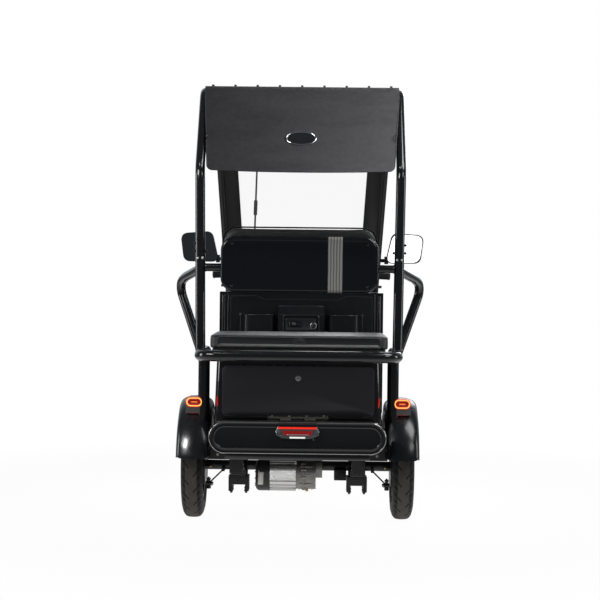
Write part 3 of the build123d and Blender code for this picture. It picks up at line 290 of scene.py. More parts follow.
# %% From a bmesh to a finished piece
def finished(name, bm, material, body="chassis", replaces=(), sharp=32, clean=True, bevel=0.0):
    """Makes a piece of a bmesh; a bevel in millimetres rounds its sharp edges."""
    if clean:
        bmesh.ops.remove_doubles(bm, verts=bm.verts, dist=0.00001)
        bmesh.ops.recalc_face_normals(bm, faces=bm.faces)
    mesh = bpy.data.meshes.new(name)
    bm.to_mesh(mesh)
    bm.free()
    piece = bpy.data.objects.new(name, mesh)
    scene.collection.objects.link(piece)
    for one in material if isinstance(material, (list, tuple)) else [material]:
        mesh.materials.append(one)
    mesh.polygons.foreach_set("use_smooth", [True] * len(mesh.polygons))
    mesh.set_sharp_from_angle(angle=math.radians(sharp))
    if bevel:
        rounding = piece.modifiers.new("rounded edges", "BEVEL")
        rounding.width = bevel * MM
        rounding.segments = 2
        rounding.limit_method = "ANGLE"
        rounding.angle_limit = math.radians(sharp)
        rounding.harden_normals = True
    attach(piece, body)
    if replaces:
        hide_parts(*([replaces] if isinstance(replaces, str) else replaces))
    size = [round(v, 3) for v in piece.dimensions]
    print(f"  {name}: {len(mesh.polygons)} faces, {size}")
    return piece


BODY_OF = {n: b for b, members in frame["record"]["behaviour"]["bodies"].items() for n in members}


def copied(node):
    """A bmesh copy of a construction piece, with its flat faces merged."""
    bm = bmesh.new()
    bm.from_mesh(frame["nodes"][node].data)
    bmesh.ops.remove_doubles(bm, verts=bm.verts, dist=0.00001)
    bmesh.ops.dissolve_limit(
        bm, angle_limit=math.radians(0.6), verts=bm.verts, edges=bm.edges, delimit={"NORMAL"}
    )
    return bm


def dressed(node, material, bevel):
    """A merged copy of a construction piece that stands for it, with its edges rounded."""
    return finished(
        "dressed_" + node, copied(node), material, BODY_OF[node], node, clean=False,
        bevel=bevel
    )


# %% [markdown]
# Small parts start from a few forms: a turned pin, a rounded plate, and a bar along a line. Each is
# made with bmesh operators in millimetres and set in place by `put`, which can also mirror it.

# %% Small forms
def turned(profile, steps=24):
    """A (radius, height) outline in millimetres, spun about Z."""
    bm = bmesh.new()
    line = [bm.verts.new((r * MM, 0, h * MM)) for r, h in profile]
    edges = [bm.edges.new(pair) for pair in zip(line, line[1:])]
    bmesh.ops.spin(
        bm, geom=line + edges, cent=(0, 0, 0), axis=(0, 0, 1), angle=math.tau, steps=steps,
        use_merge=True, use_duplicate=False,
    )
    bmesh.ops.remove_doubles(bm, verts=bm.verts, dist=0.000005)
    bmesh.ops.recalc_face_normals(bm, faces=bm.faces)
    return bm


def plate(wide, tall, thick, corner, segments=5):
    """A plate in the XZ plane with rounded corners, its back at y = 0, facing -Y, in millimetres."""
    bm = bmesh.new()
    bmesh.ops.create_grid(bm, x_segments=1, y_segments=1, size=0.5)
    bmesh.ops.scale(bm, verts=bm.verts, vec=(wide * MM, tall * MM, 1))
    if corner:
        bmesh.ops.bevel(
            bm, geom=bm.verts[:], offset=corner * MM, affect="VERTICES", segments=segments,
            profile=0.5, material=-1,
        )
    bmesh.ops.rotate(bm, verts=bm.verts, cent=(0, 0, 0), matrix=Matrix.Rotation(math.radians(90), 3, "X"))
    side = bmesh.ops.extrude_face_region(bm, geom=bm.faces[:])
    moved = [v for v in side["geom"] if isinstance(v, bmesh.types.BMVert)]
    bmesh.ops.translate(bm, verts=moved, vec=(0, -thick * MM, 0))
    bmesh.ops.recalc_face_normals(bm, faces=bm.faces)
    return bm


def bar(start, end, radius, segments=10):
    """A round bar between two points."""
    run = Vector(end) - Vector(start)
    bm = bmesh.new()
    bmesh.ops.create_cone(
        bm, cap_ends=True, segments=segments, radius1=radius * MM, radius2=radius * MM, depth=run.length
    )
    bmesh.ops.transform(bm, verts=bm.verts, matrix=run.to_track_quat("Z", "Y").to_matrix().to_4x4())
    bmesh.ops.translate(bm, verts=bm.verts, vec=(Vector(start) + Vector(end)) / 2)
    return bm


def put(into, part, place=(0, 0, 0), turn=None, flip=False, material=0):
    """Adds a small form to a bmesh, turned and moved; flip mirrors the result left to right."""
    if turn:
        for axis, degrees in turn:
            bmesh.ops.rotate(
                part, verts=part.verts, cent=(0, 0, 0),
                matrix=Matrix.Rotation(math.radians(degrees), 3, axis)
            )
    bmesh.ops.translate(part, verts=part.verts, vec=Vector(place))
    if flip:
        bmesh.ops.scale(part, verts=part.verts, vec=(-1, 1, 1))
        bmesh.ops.reverse_faces(part, faces=part.faces)
    for face in part.faces:
        face.material_index = material
    scratch = bpy.data.meshes.new("scratch")
    part.to_mesh(scratch)
    part.free()
    into.from_mesh(scratch)
    bpy.data.meshes.remove(scratch)
    return into


def cap_head(radius, height):
    """A domed screw head with a socket, its seat at z = 0."""
    dome = [(1, 0), (1, 0.45), (0.8, 0.85), (0.55, 1), (0.5, 1), (0.42, 0.4), (0, 0.4)]
    return turned([(0, 0)] + [(radius * r, height * h) for r, h in dome], 14)


def hex_nut(radius, height, stud=0.0):
    """A six-sided nut with chamfered corners on a short stud, its seat at z = 0."""
    bm = bmesh.new()
    bmesh.ops.create_cone(
        bm, cap_ends=True, segments=6, radius1=radius * MM, radius2=radius * MM, depth=height * MM
    )
    bmesh.ops.translate(bm, verts=bm.verts, vec=(0, 0, height * MM / 2))
    top = [e for e in bm.edges if all(v.co.z > height * MM * 0.9 for v in e.verts)]
    bmesh.ops.bevel(
        bm, geom=top, offset=radius * 0.12 * MM, affect="EDGES", segments=1, profile=0.5, material=-1
    )
    if stud:
        end = [(0, 0), (1, 0), (1, 1), (0.7, 1.3), (0, 1.3)]
        put(bm, turned([(stud * r, height + stud * h) for r, h in end], 12))
    return bm


print("helpers ready")


# %% [markdown]
# Many parts of a vehicle are a stack of outlines with round corners: a lamp, a bumper, a cover with a
# rolled edge. `stacked` takes those outlines from back to front and joins each to the next.

# %% Stacked outlines
def skinned(bm, loops, materials=None, front=True, back=True):
    """Joins closed rows of points, each to the next, and closes the ends that are wanted."""
    for row, (low, high) in enumerate(zip(loops, loops[1:])):
        for i in range(len(low)):
            j = (i + 1) % len(low)
            face = bm.faces.new((low[i], low[j], high[j], high[i]))
            face.material_index = materials[row] if materials else 0
    if front:
        bm.faces.new(loops[-1]).material_index = materials[-1] if materials else 0
    if back:
        bm.faces.new(reversed(loops[0]))
    bmesh.ops.recalc_face_normals(bm, faces=bm.faces)
    return bm


def corner_loop(half_w, half_h, corner, steps=8, lean=0.0):
    """Points of a rounded rectangle in millimetres; lean narrows its top by that much at each side."""
    corner = min(corner, half_w - 0.01, half_h - 0.01)
    points = []
    for turn, (sx, sz) in enumerate([(1, 1), (-1, 1), (-1, -1), (1, -1)]):
        for i in range(steps + 1):
            angle = math.radians(90 * turn + 90 * i / steps)
            x = sx * (half_w - corner) + corner * math.cos(angle)
            z = sz * (half_h - corner) + corner * math.sin(angle)
            points.append((x * (1 - lean * (z / half_h + 1) / (2 * half_w)), z))
    return points


def stacked(levels, steps=8, lean=0.0, front=True, back=False, materials=None):
    """Joins outlines (half width, half height, corner radius, distance towards -Y) into one form."""
    bm = bmesh.new()
    loops = []
    for half_w, half_h, corner, out in levels:
        outline = corner_loop(half_w, half_h, corner, steps, lean)
        loops.append([bm.verts.new((x * MM, -out * MM, z * MM)) for x, z in outline])
    return skinned(bm, loops, materials, front, back)


def raised(rim, face, steps=4, **more):
    """A plate with a chamfered face; its rim and its face are levels as in stacked."""
    return stacked([(*rim[:3], 0), rim, face], steps, **more)


def kept(into, part, place=(0, 0, 0), turn=None, flip=False):
    """As put, but the part keeps its own material numbers."""
    numbers = [face.material_index for face in part.faces]
    first = len(into.faces)
    put(into, part, place, turn, flip)
    into.faces.ensure_lookup_table()
    for i, number in enumerate(numbers):
        into.faces[first + i].material_index = number
    return into


def cord(outline, radius, sides=8, closed=False):
    """A round cord along a row of points, open or closed to a loop."""
    bm = bmesh.new()
    rings = []
    count = len(outline)
    side = None
    for i, point in enumerate(outline):
        before = outline[i - 1] if closed or i else point
        after = outline[(i + 1) % count] if closed or i + 1 < count else point
        along = (after - before).normalized()
        side = side or along.orthogonal()
        side = (side - along * side.dot(along)).normalized()
        up = along.cross(side)
        ring = []
        for k in range(sides):
            angle = math.tau * k / sides
            ring.append(bm.verts.new(point + (side * math.cos(angle) + up * math.sin(angle)) * radius * MM))
        rings.append(ring)
    pairs = list(zip(rings, rings[1:])) + ([(rings[-1], rings[0])] if closed else [])
    for this, following in pairs:
        for k in range(sides):
            bm.faces.new((this[k], this[(k + 1) % sides], following[(k + 1) % sides], following[k]))
    if not closed:
        bm.faces.new(reversed(rings[0]))
        bm.faces.new(rings[-1])
    bmesh.ops.recalc_face_normals(bm, faces=bm.faces)
    return bm


def oval_points(half_w, half_h, y, steps):
    """Points round an ellipse that faces -Y."""
    turns = [math.tau * i / steps for i in range(steps)]
    return [Vector((half_w * MM * math.cos(t), y, half_h * MM * math.sin(t))) for t in turns]


def ovals(levels, steps=48, materials=None, front=True):
    """Ellipses (half width, half height, distance towards -Y) joined from back to front."""
    bm = bmesh.new()
    loops = []
    for half_w, half_h, out in levels:
        loops.append([bm.verts.new(point) for point in oval_points(half_w, half_h, -out * MM, steps)])
    return skinned(bm, loops, materials, front, back=False)


def aimed(part, start, end):
    """Turns a form that stands on z = 0 so that it runs from one point toward another."""
    run = Vector(end) - Vector(start)
    place = Matrix.Translation(start) @ run.to_track_quat("Z", "Y").to_matrix().to_4x4()
    bmesh.ops.transform(part, verts=part.verts, matrix=place)
    return part


def rounded_points(points, corner, steps=6):
    """A polygon in millimetres with each corner replaced by a soft curve."""
    out = []
    for i, here in enumerate(points):
        here = Vector(here)
        before = (Vector(points[i - 1]) - here).normalized() * corner
        after = (Vector(points[(i + 1) % len(points)]) - here).normalized() * corner
        for k in range(steps + 1):
            t = k / steps
            out.append(here + before * (1 - t) ** 2 + after * t**2)
    return out


def slab(levels):
    """Outlines as (points in XZ, distance towards -Y), joined from back to front and closed."""
    bm = bmesh.new()
    loops = [[bm.verts.new((x * MM, -out * MM, z * MM)) for x, z in points] for points, out in levels]
    return skinned(bm, loops)

# %% [markdown]
# ## Effects that many finishes share
# No real surface has one colour or one gloss. Four node groups make the differences: *patina* shifts
# colour and gloss in soft clouds and lays dust on top faces, *pebble* is the fine texture of a
# moulded or powder-coated skin, *hide* is the creased cell pattern of seat vinyl, with painted shade
# in its creases, and *edge wear* finds the corners where hands and cloths have rubbed.

# %% The patina group
PATINA, given, wanted = new_group(
    "patina",
    [
        ("Vector", "Vector", None), ("Scale", "Float", 6.0),
        ("Light", "Color", (0.03, 0.03, 0.03, 1)), ("Dark", "Color", (0.02, 0.02, 0.02, 1)),
        ("Smooth", "Float", 0.2), ("Dull", "Float", 0.35), ("Dust", "Float", 0.0),
    ],
    [("Color", "Color"), ("Roughness", "Float")],
)
given_place = given["Vector"]
clouds = add(PATINA, "TexNoise", {"Vector": given_place, "Scale": given["Scale"], "Detail": 5.0})
stretch = {"Vector": given_place, "Scale": (1.0, 1.0, 5.0), "Rotation": (0.4, 0.3, 0.2)}
wipes = add(PATINA, "Mapping", stretch).outputs[0]
streaky = {"Vector": wipes, "Scale": given["Scale"], "Detail": 7.0, "Roughness": 0.62}
smears = add(PATINA, "TexNoise", streaky).outputs["Fac"]
tone = mixed_colour(PATINA, clouds.outputs["Fac"], given["Dark"], given["Light"])
gloss = ranged(PATINA, smears, (0.36, 0.64), (given["Smooth"], given["Dull"]))
facing = add(PATINA, "SeparateXYZ", {0: add(PATINA, "NewGeometry").outputs["Normal"]})
lying = ranged(PATINA, facing.outputs["Z"], (0.55, 1.0))
fine = {"Vector": given_place, "Scale": 55.0, "Detail": 8.0, "Roughness": 0.7}
specks = ranged(PATINA, add(PATINA, "TexNoise", fine).outputs["Fac"], (0.42, 0.72))
amount = maths(PATINA, "MULTIPLY", maths(PATINA, "MULTIPLY", lying, specks), given["Dust"])
PATINA.links.new(mixed_colour(PATINA, amount, tone, (0.2, 0.19, 0.17, 1)), wanted["Color"])
PATINA.links.new(mixed(PATINA, amount, gloss, 0.85), wanted["Roughness"])

# %% The pebble and hide groups
PEBBLE, given, wanted = new_group(
    "pebble", [("Vector", "Vector", None), ("Cells", "Float", 900.0), ("Waves", "Float", 0.3)],
    [("Height", "Float")]
)
cells = add(PEBBLE, "TexVoronoi", {"Vector": given["Vector"], "Scale": given["Cells"]}, feature="SMOOTH_F1")
swell = add(PEBBLE, "TexNoise", {"Vector": given["Vector"], "Scale": 24.0, "Detail": 3.0})
height = mixed(PEBBLE, given["Waves"], cells.outputs["Distance"], swell.outputs["Fac"])
PEBBLE.links.new(height, wanted["Height"])

HIDE, given, wanted = new_group(
    "hide", [("Vector", "Vector", None), ("Cells", "Float", 260.0)],
    [("Height", "Float"), ("Crease shade", "Float")]
)
bend = add(HIDE, "TexNoise", {"Vector": given["Vector"], "Scale": 90.0, "Detail": 3.0})
pulled = add(HIDE, "VectorMath", {0: bend.outputs["Color"], "Scale": 0.004}, operation="SCALE")
drawn_in = add(HIDE, "VectorMath", {0: given["Vector"], 1: pulled.outputs[0]}, operation="ADD")
cracks = {"Vector": drawn_in.outputs[0], "Scale": given["Cells"]}
skin = add(HIDE, "TexVoronoi", cracks, feature="DISTANCE_TO_EDGE")
creases = ranged(HIDE, skin.outputs["Distance"], (0.0, 0.12), kind="SMOOTHSTEP")
pores = add(HIDE, "TexNoise", {"Vector": given["Vector"], "Scale": 1400.0, "Detail": 2.0})
HIDE.links.new(mixed(HIDE, 0.25, creases, pores.outputs["Fac"]), wanted["Height"])
HIDE.links.new(creases, wanted["Crease shade"])

# %% The edge wear group
EDGE_WEAR, given, wanted = new_group(
    "edge wear", [("Vector", "Vector", None), ("Reach", "Float", 0.002), ("Amount", "Float", 0.5)],
    [("Mask", "Float")]
)
soft = add(EDGE_WEAR, "Bevel", {"Radius": given["Reach"]}, samples=4).outputs[0]
flat = add(EDGE_WEAR, "NewGeometry").outputs["Normal"]
same = add(EDGE_WEAR, "VectorMath", {0: soft, 1: flat}, operation="DOT_PRODUCT").outputs["Value"]
corner = ranged(EDGE_WEAR, same, (0.98, 0.78))
chips = add(EDGE_WEAR, "TexNoise", {"Vector": given["Vector"], "Scale": 120.0, "Detail": 6.0})
rubbed = ranged(EDGE_WEAR, chips.outputs["Fac"], (0.44, 0.6))
worn = maths(EDGE_WEAR, "MULTIPLY", corner, rubbed)
EDGE_WEAR.links.new(maths(EDGE_WEAR, "MULTIPLY", worn, given["Amount"]), wanted["Mask"])
print("node groups:", [g.name for g in bpy.data.node_groups])

# %% [markdown]
# ## The finishes
# `finish` joins the groups to a Principled shader. Whatever is the same all over, such as metalness or
# coat, is set straight on the shader; only colour, roughness and bump come through nodes.

# %% One finish
def finish(
    name, light, dark, rough, scale=6.0, dust=0.0, bump=None, wear=None, metal=0.0, coat=0.0,
    specular=0.5, hide=None, sheen=0.0,
):
    """A material; bump is (cells, depth in mm, waves) and wear is (colour, reach in mm, amount)."""
    material = bpy.data.materials.new(name)
    material.use_nodes = True
    tree = material.node_tree
    place = add(tree, "TexCoord").outputs["Object"]
    clouds = {"Vector": place, "Scale": scale, "Light": (*light, 1), "Dark": (*dark, 1), "Dust": dust}
    skin = use(tree, PATINA, {**clouds, "Smooth": rough[0], "Dull": rough[1]})
    color, dullness = skin["Color"], skin["Roughness"]
    if wear:
        worn_color, reach, amount = wear
        worn = use(tree, EDGE_WEAR, {"Vector": place, "Reach": reach * MM, "Amount": amount})["Mask"]
        color = mixed_colour(tree, worn, color, (*worn_color, 1))
        dullness = mixed(tree, worn, dullness, 0.45)
    look = {"Metallic": metal, "Coat Weight": coat, "Coat Roughness": 0.04}
    look |= {"Specular IOR Level": specular, "Sheen Weight": sheen}
    if hide:
        cells, depth = hide
        grain = use(tree, HIDE, {"Vector": place, "Cells": cells})
        # The grain's creases are painted darker: painted shade in the hollows of the vinyl.
        color = mixed_colour(tree, grain["Crease shade"], (*[c * 0.45 for c in dark], 1), color)
        look["Normal"] = bumped(tree, grain["Height"], depth)
    elif bump:
        cells, depth, waves = bump
        grain = use(tree, PEBBLE, {"Vector": place, "Cells": cells, "Waves": waves})
        look["Normal"] = bumped(tree, grain["Height"], depth)
    look |= {"Base Color": color, "Roughness": dullness}
    fed(tree, tree.nodes["Principled BSDF"], look)
    return material


# %% Paints, plastics and rubber
tube_gloss = finish(
    "gloss black tube", (0.010, 0.010, 0.011), (0.006, 0.006, 0.007), (0.09, 0.2), 5.0, 0.25,
    bump=(220, 0.02, 0.8), wear=((0.05, 0.05, 0.05), 1.2, 0.35), coat=0.5,
)
body_gloss = finish(
    "gloss black body", (0.009, 0.009, 0.010), (0.006, 0.006, 0.007), (0.07, 0.16), 3.0, 0.3,
    bump=(160, 0.03, 0.9), coat=0.6,
)
shield_gloss = finish(
    "gloss black shield", (0.010, 0.010, 0.011), (0.007, 0.007, 0.008), (0.1, 0.2), 3.0, 0.3,
    bump=(160, 0.02, 0.9), coat=0.6,
)
matt_black = finish(
    "matt black moulding", (0.015, 0.0155, 0.017), (0.011, 0.0115, 0.013), (0.42, 0.56), 7.0, 0.35,
    bump=(1100, 0.05, 0.15),
)
canopy_matt = finish(
    "matt canopy skin", (0.0165, 0.0162, 0.0186), (0.0135, 0.0132, 0.0155), (0.46, 0.58), 3.0, 0.45,
    bump=(900, 0.06, 0.12), specular=0.4,
)
pillar_satin = finish(
    "satin pillar", (0.012, 0.0125, 0.0135), (0.009, 0.0095, 0.0105), (0.3, 0.42), 4.0, 0.2,
    bump=(900, 0.03, 0.1),
)
dash_satin = finish(
    "satin dash moulding", (0.012, 0.0128, 0.0155), (0.0095, 0.0102, 0.0125), (0.28, 0.31), 5.0, 0.3,
    bump=(1200, 0.03, 0.12), specular=0.4,
)
frame_paint = finish(
    "satin frame paint", (0.013, 0.013, 0.014), (0.008, 0.008, 0.009), (0.28, 0.46), 9.0, 0.7,
    bump=(700, 0.05, 0.3), wear=((0.09, 0.085, 0.08), 1.6, 0.6),
)
rim_black = finish(
    "satin rim paint", (0.014, 0.014, 0.015), (0.01, 0.01, 0.011), (0.26, 0.42), 10.0, 0.7,
    bump=(500, 0.04, 0.4), wear=((0.07, 0.07, 0.07), 1.2, 0.5),
)
soft_rubber = finish(
    "soft rubber", (0.013, 0.013, 0.013), (0.009, 0.009, 0.009), (0.6, 0.78), 14.0, 0.6,
    bump=(600, 0.08, 0.2), specular=0.35,
)
seat_vinyl = finish(
    "grained seat vinyl", (0.013, 0.013, 0.014), (0.009, 0.009, 0.0095), (0.3, 0.42), 5.0, 0.2,
    hide=(300, 0.16), sheen=0.1,
)

dark_case = finish(
    "dark lamp case", (0.006, 0.006, 0.007), (0.004, 0.004, 0.005), (0.12, 0.2), 20.0, 0.2,
    bump=(500, 0.02, 0.5),
)

# %% Metals
chrome = finish(
    "bright chrome", (0.8, 0.81, 0.83), (0.7, 0.71, 0.73), (0.05, 0.14), 8.0, 0.3, bump=(90, 0.02, 0.9),
    metal=1.0,
)
satin_steel = finish(
    "satin steel", (0.5, 0.5, 0.5), (0.36, 0.36, 0.37), (0.24, 0.4), 20.0, 0.4, bump=(1500, 0.03, 0.2),
    metal=1.0
)
zinc = finish(
    "zinc fastener", (0.42, 0.41, 0.38), (0.26, 0.25, 0.23), (0.3, 0.5), 60.0, 0.6, bump=(1200, 0.04, 0.3),
    metal=1.0,
)
cast_alloy = finish(
    "cast gearbox alloy", (0.34, 0.335, 0.32), (0.16, 0.155, 0.145), (0.42, 0.62), 16.0, 0.8,
    bump=(1300, 0.16, 0.2), wear=((0.6, 0.59, 0.56), 1.5, 0.5), metal=0.85,
)
bright_alloy = finish(
    "drawn motor alloy", (0.72, 0.72, 0.71), (0.55, 0.55, 0.54), (0.26, 0.4), 10.0, 0.5,
    bump=(1600, 0.03, 0.1), metal=0.9,
)
brass = finish(
    "brass fitting", (0.62, 0.44, 0.16), (0.4, 0.26, 0.08), (0.25, 0.45), 60.0, 0.4, bump=(900, 0.05, 0.3),
    metal=1.0,
)
print("finishes:", len(bpy.data.materials))

# %% [markdown]
# ## Painted bars, panels and castings
# The frame's own pieces keep their exact form. Each gets a merged copy with softly rounded edges,
# because light catches the small radius on every real edge, and a sharp one looks like paper.

# %% The pieces that only need a finish
DRESS = {
    tube_gloss: [
        "grab_bar", "canopy_tubes", "lower_posts", "canopy_crossings", "armrests", "crossbar",
        "front_fork", "handlebar",
    ],
    body_gloss: ["body_tub", "front_mudguard"],
    shield_gloss: ["front_shield"],
    frame_paint: ["chassis_frame", "rear_axle", "head_frame", "brake_plates", "spring_clamps"],
    pillar_satin: ["windscreen_pillars"],
    dash_satin: ["dash_panel", "dash_pockets", "console"],
    canopy_matt: ["canopy_panel"],
    rim_black: ["rear_left_rim", "rear_right_rim", "front_rim"],
    matt_black: [
        "brake_levers", "brake_pedal", "floor_pan", "seat_pan", "seat_hinge", "battery_pack",
        "instrument_pod", "mirrors", "wiper",
    ],
}
# how wide the softened edges are, in millimetres, where they aren't 0.8
EDGE = {"front_shield": 1.5, "body_tub": 1.5, "front_mudguard": 1.2}
for material, nodes in DRESS.items():
    for node in nodes:
        dressed(node, material, EDGE.get(node, 0.8))

# %% [markdown]
# ## Tyres
# A tyre is a section spun round its axle. The rows of the tread are drawn back toward the shoulders, so
# that they run in a V, and every pitch has one narrow row. There, the cutter of the mould leaves a
# groove: on the left of the crown in one pitch, on the right half a pitch later.

# %% Tread
TREAD_PITCHES = 20
TREAD_ROWS = (0.0, 6.6, 18.0, 32.2, 38.8, 50.2)  # along one pitch of about 64 mm
BEAD = 127
CROWN = TYRE_RADIUS / MM
# (across, radius) from the middle of the tread down to the bead
HALF_SECTION = [
    (0, CROWN), (4, CROWN), (8, CROWN - 0.3), (13, CROWN - 0.8), (18, CROWN - 1.5), (23, CROWN - 2.6),
    (26, CROWN - 4.2), (29, CROWN - 6.6), (33, CROWN - 11.5), (36.5, CROWN - 17), (39.3, BEAD + 52),
    (39.9, BEAD + 49), (41.2, BEAD + 45), (42, BEAD + 33), (41.3, BEAD + 27), (40.4, BEAD + 24),
    (38.8, BEAD + 19), (36, BEAD + 13), (33.6, BEAD + 10.5), (31, BEAD + 6.5), (30, BEAD + 2),
    (29, BEAD - 0.2),
]
CROWN_EDGE = 23
SHOULDER_EDGE = 33


def swept_back(across):
    """How far a row lags behind the middle of the tread, in millimetres."""
    inner = min(across, CROWN_EDGE) / CROWN_EDGE
    outer = max(0, min(across, SHOULDER_EDGE + 8) - CROWN_EDGE)
    return 24 * inner**1.5 + 1.1 * outer


def tyre_form(centre, direction=1):
    """A tyre about a point; its tread is drawn back against the way it drives."""
    bm = bmesh.new()
    across_layer = bm.verts.layers.float.new("across")
    section = [(-x, r) for x, r in reversed(HALF_SECTION[1:])] + HALF_SECTION
    rounds = math.tau * CROWN
    angles = [
        (p * rounds / TREAD_PITCHES + row) / CROWN
        for p in range(TREAD_PITCHES) for row in TREAD_ROWS
    ]
    rows = []
    for angle in angles:
        row = []
        for x, radius in section:
            lag = swept_back(abs(x)) if radius > BEAD + 30 else swept_back(SHOULDER_EDGE + 8)
            turn = angle + direction * lag / CROWN
            point = (x * MM, -radius * MM * math.cos(turn), radius * MM * math.sin(turn))
            vert = bm.verts.new(Vector(point) + centre)
            vert[across_layer] = abs(x) / 42 if radius > BEAD + 46 else 1.0
            row.append(vert)
        rows.append(row)
    cuts = {"crown": [], "shoulder": []}
    for i, (this, following) in enumerate(zip(rows, rows[1:] + rows[:1])):
        side = {0: -1, 3: 1}.get(i % len(TREAD_ROWS))
        for j in range(len(section) - 1):
            face = bm.faces.new((this[j], this[j + 1], following[j + 1], following[j]))
            if not side:
                continue
            middle = side * (section[j][0] + section[j + 1][0]) / 2
            if 6 < middle < CROWN_EDGE:
                cuts["crown"].append(face)
            elif (23 < -middle < 34 or 26 < middle < 32) and section[j][1] > BEAD + 60:
                cuts["shoulder"].append(face)
    bmesh.ops.recalc_face_normals(bm, faces=bm.faces)
    for kind, deep in (("crown", 3.6), ("shoulder", 2.4)):
        bmesh.ops.inset_region(
            bm, faces=cuts[kind], thickness=0.25 * MM, depth=-deep * MM, use_even_offset=True,
            use_boundary=True
        )
        for vert in {v for face in cuts[kind] for v in face.verts}:
            vert[across_layer] = 1.0
    return bm


tyre_rubber = finish(
    "tyre rubber", (0.011, 0.0115, 0.0125), (0.007, 0.0075, 0.0085), (0.5, 0.66), 16.0, 0.5,
    bump=(420, 0.12, 0.35), specular=0.2,
)
tree = tyre_rubber.node_tree
shader = tree.nodes["Principled BSDF"]
place = add(tree, "TexCoord").outputs["Object"]
across = add(tree, "Attribute", attribute_name="across").outputs["Fac"]
crown_band = ranged(tree, across, (0.6, 0.46), kind="SMOOTHSTEP")
road = add(tree, "TexNoise", {"Vector": place, "Scale": 34.0, "Detail": 8.0, "Roughness": 0.66})
worn = maths(tree, "MULTIPLY", crown_band, ranged(tree, road.outputs["Fac"], (0.3, 0.7), (0.62, 1.0)))
clean_color = shader.inputs["Base Color"].links[0].from_socket
clean_rough = shader.inputs["Roughness"].links[0].from_socket
dusted = mixed_colour(tree, worn, clean_color, (0.072, 0.069, 0.06, 1))
fed(tree, shader, {"Base Color": dusted, "Roughness": mixed(tree, worn, clean_rough, 0.86)})

for wheel in ("rear_left", "rear_right", "front"):
    low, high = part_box(f"{wheel}_tyre")
    body = BODY_OF[f"{wheel}_tyre"]
    finished(
        f"{wheel}_treaded_tyre", tyre_form((low + high) / 2), tyre_rubber, body, f"{wheel}_tyre",
        sharp=40, clean=False,
    )

# %% [markdown]
# A rim is held by five nuts on a ring and one larger nut on the axle's end, under a cap. A short valve
# stands out of the rim's barrel between two of its windows.

# %% Wheel nuts, caps and valves
NUT_RING = 48
NUTS = 5


def wheel_fittings(outward, hub_face, disc_face):
    """Nuts and a valve about the wheel's own middle, its outside toward +X, in millimetres."""
    bm = bmesh.new()
    for i in range(NUTS):
        angle = math.tau * i / NUTS
        where = (disc_face * MM, NUT_RING * MM * math.cos(angle), NUT_RING * MM * math.sin(angle))
        put(bm, turned([(0, 0), (9, 0), (9, 1.5), (0, 1.5)], 18), where, [("Y", 90)])
        put(bm, hex_nut(8, 6.5, 3.5), Vector(where) + Vector((1.5 * MM, 0, 0)), [("Y", 90)])
    put(bm, turned([(0, 0), (18, 0), (18, 2.5), (0, 2.5)], 24), (hub_face * MM, 0, 0), [("Y", 90)])
    put(bm, hex_nut(14, 9, 7), ((hub_face + 2.5) * MM, 0, 0), [("Y", 90)])
    stem = [(0, 0), (4, 0), (4, 8), (2.6, 10), (2.6, 26), (3.4, 26), (3.4, 33), (2.5, 35), (0, 35)]
    put(bm, turned(stem, 14), (disc_face * MM, 0.092, 0.034), [("Y", 62)], material=1)
    bmesh.ops.scale(bm, verts=bm.verts, vec=(outward, 1, 1))
    return bm


# wheel: (the side it faces, how far out its hub ends, how far out its disc lies)
WHEEL_SIDES = {"rear_left": (-1, 28, 5), "rear_right": (1, 28, 5), "front": (1, 44, 5)}
for wheel, (outward, hub_face, disc_face) in WHEEL_SIDES.items():
    low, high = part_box(f"{wheel}_tyre")
    bm = bmesh.new()
    sides = (-1, 1) if wheel == "front" else (outward,)
    for side in sides:
        fittings = wheel_fittings(side, hub_face, disc_face)
        if wheel == "front":
            loose = [v for v in fittings.verts if abs(v.co.x) > 40 * MM]
            bmesh.ops.delete(fittings, geom=loose, context="VERTS")
        kept(bm, fittings, (low + high) / 2)
    finished(f"{wheel}_wheel_nuts", bm, [zinc, soft_rubber], BODY_OF[f"{wheel}_rim"], sharp=30)
print("wheels: tread, nuts and valves")

# %% [markdown]
# ## Padding
# A cushion starts a little smaller than its cover, is inflated as cloth until the cover is tight, and
# then keeps that shape. Seams come afterwards, as cords of piping along the cover's own outline.

# %% Inflating a cover
PAD_VOXEL = 6
PAD_PRESSURE = 4.0
FILL_FRAMES = 20


def frozen(piece):
    """A mesh of a piece as its modifiers leave it."""
    return bpy.data.meshes.new_from_object(piece.evaluated_get(bpy.context.evaluated_depsgraph_get()))


def inflated(name, bm, cap):
    """Fills a closed form like a cushion; no point moves further than cap millimetres.
    """
    mesh = bpy.data.meshes.new(name)
    bm.to_mesh(mesh)
    bm.free()
    pad = bpy.data.objects.new(name, mesh)
    scene.collection.objects.link(pad)
    bpy.context.view_layer.objects.active = pad
    remesh = pad.modifiers.new("even cloth", "REMESH")
    remesh.mode = "VOXEL"
    remesh.voxel_size = PAD_VOXEL * MM
    even = frozen(pad)
    pad.modifiers.clear()
    pad.data = even
    start = [v.co.copy() for v in even.vertices]
    cloth = pad.modifiers.new("filling", "CLOTH")
    cloth.settings.use_pressure = True
    cloth.settings.uniform_pressure_force = PAD_PRESSURE
    cloth.settings.effector_weights.gravity = 0
    cloth.settings.quality = 5
    for step in range(1, FILL_FRAMES + 1):
        scene.frame_set(step)
    full = frozen(pad)
    pad.modifiers.clear()
    scene.frame_set(1)
    reach = cap * MM
    for before, after in zip(start, full.vertices):
        moved = after.co - before
        if moved.length > reach:
            after.co = before + moved.normalized() * reach
    pad.data = full
    return pad


def upholstered(pad, material, node):
    mesh = pad.data
    mesh.materials.append(material)
    mesh.polygons.foreach_set("use_smooth", [True] * len(mesh.polygons))
    soft = pad.modifiers.new("smooth cover", "SUBSURF")
    soft.levels = soft.render_levels = 1
    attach(pad, BODY_OF[node])
    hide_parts(node)
    print(f"  {pad.name}: {len(mesh.polygons)} faces, {[round(v, 3) for v in pad.dimensions]}")
    return pad


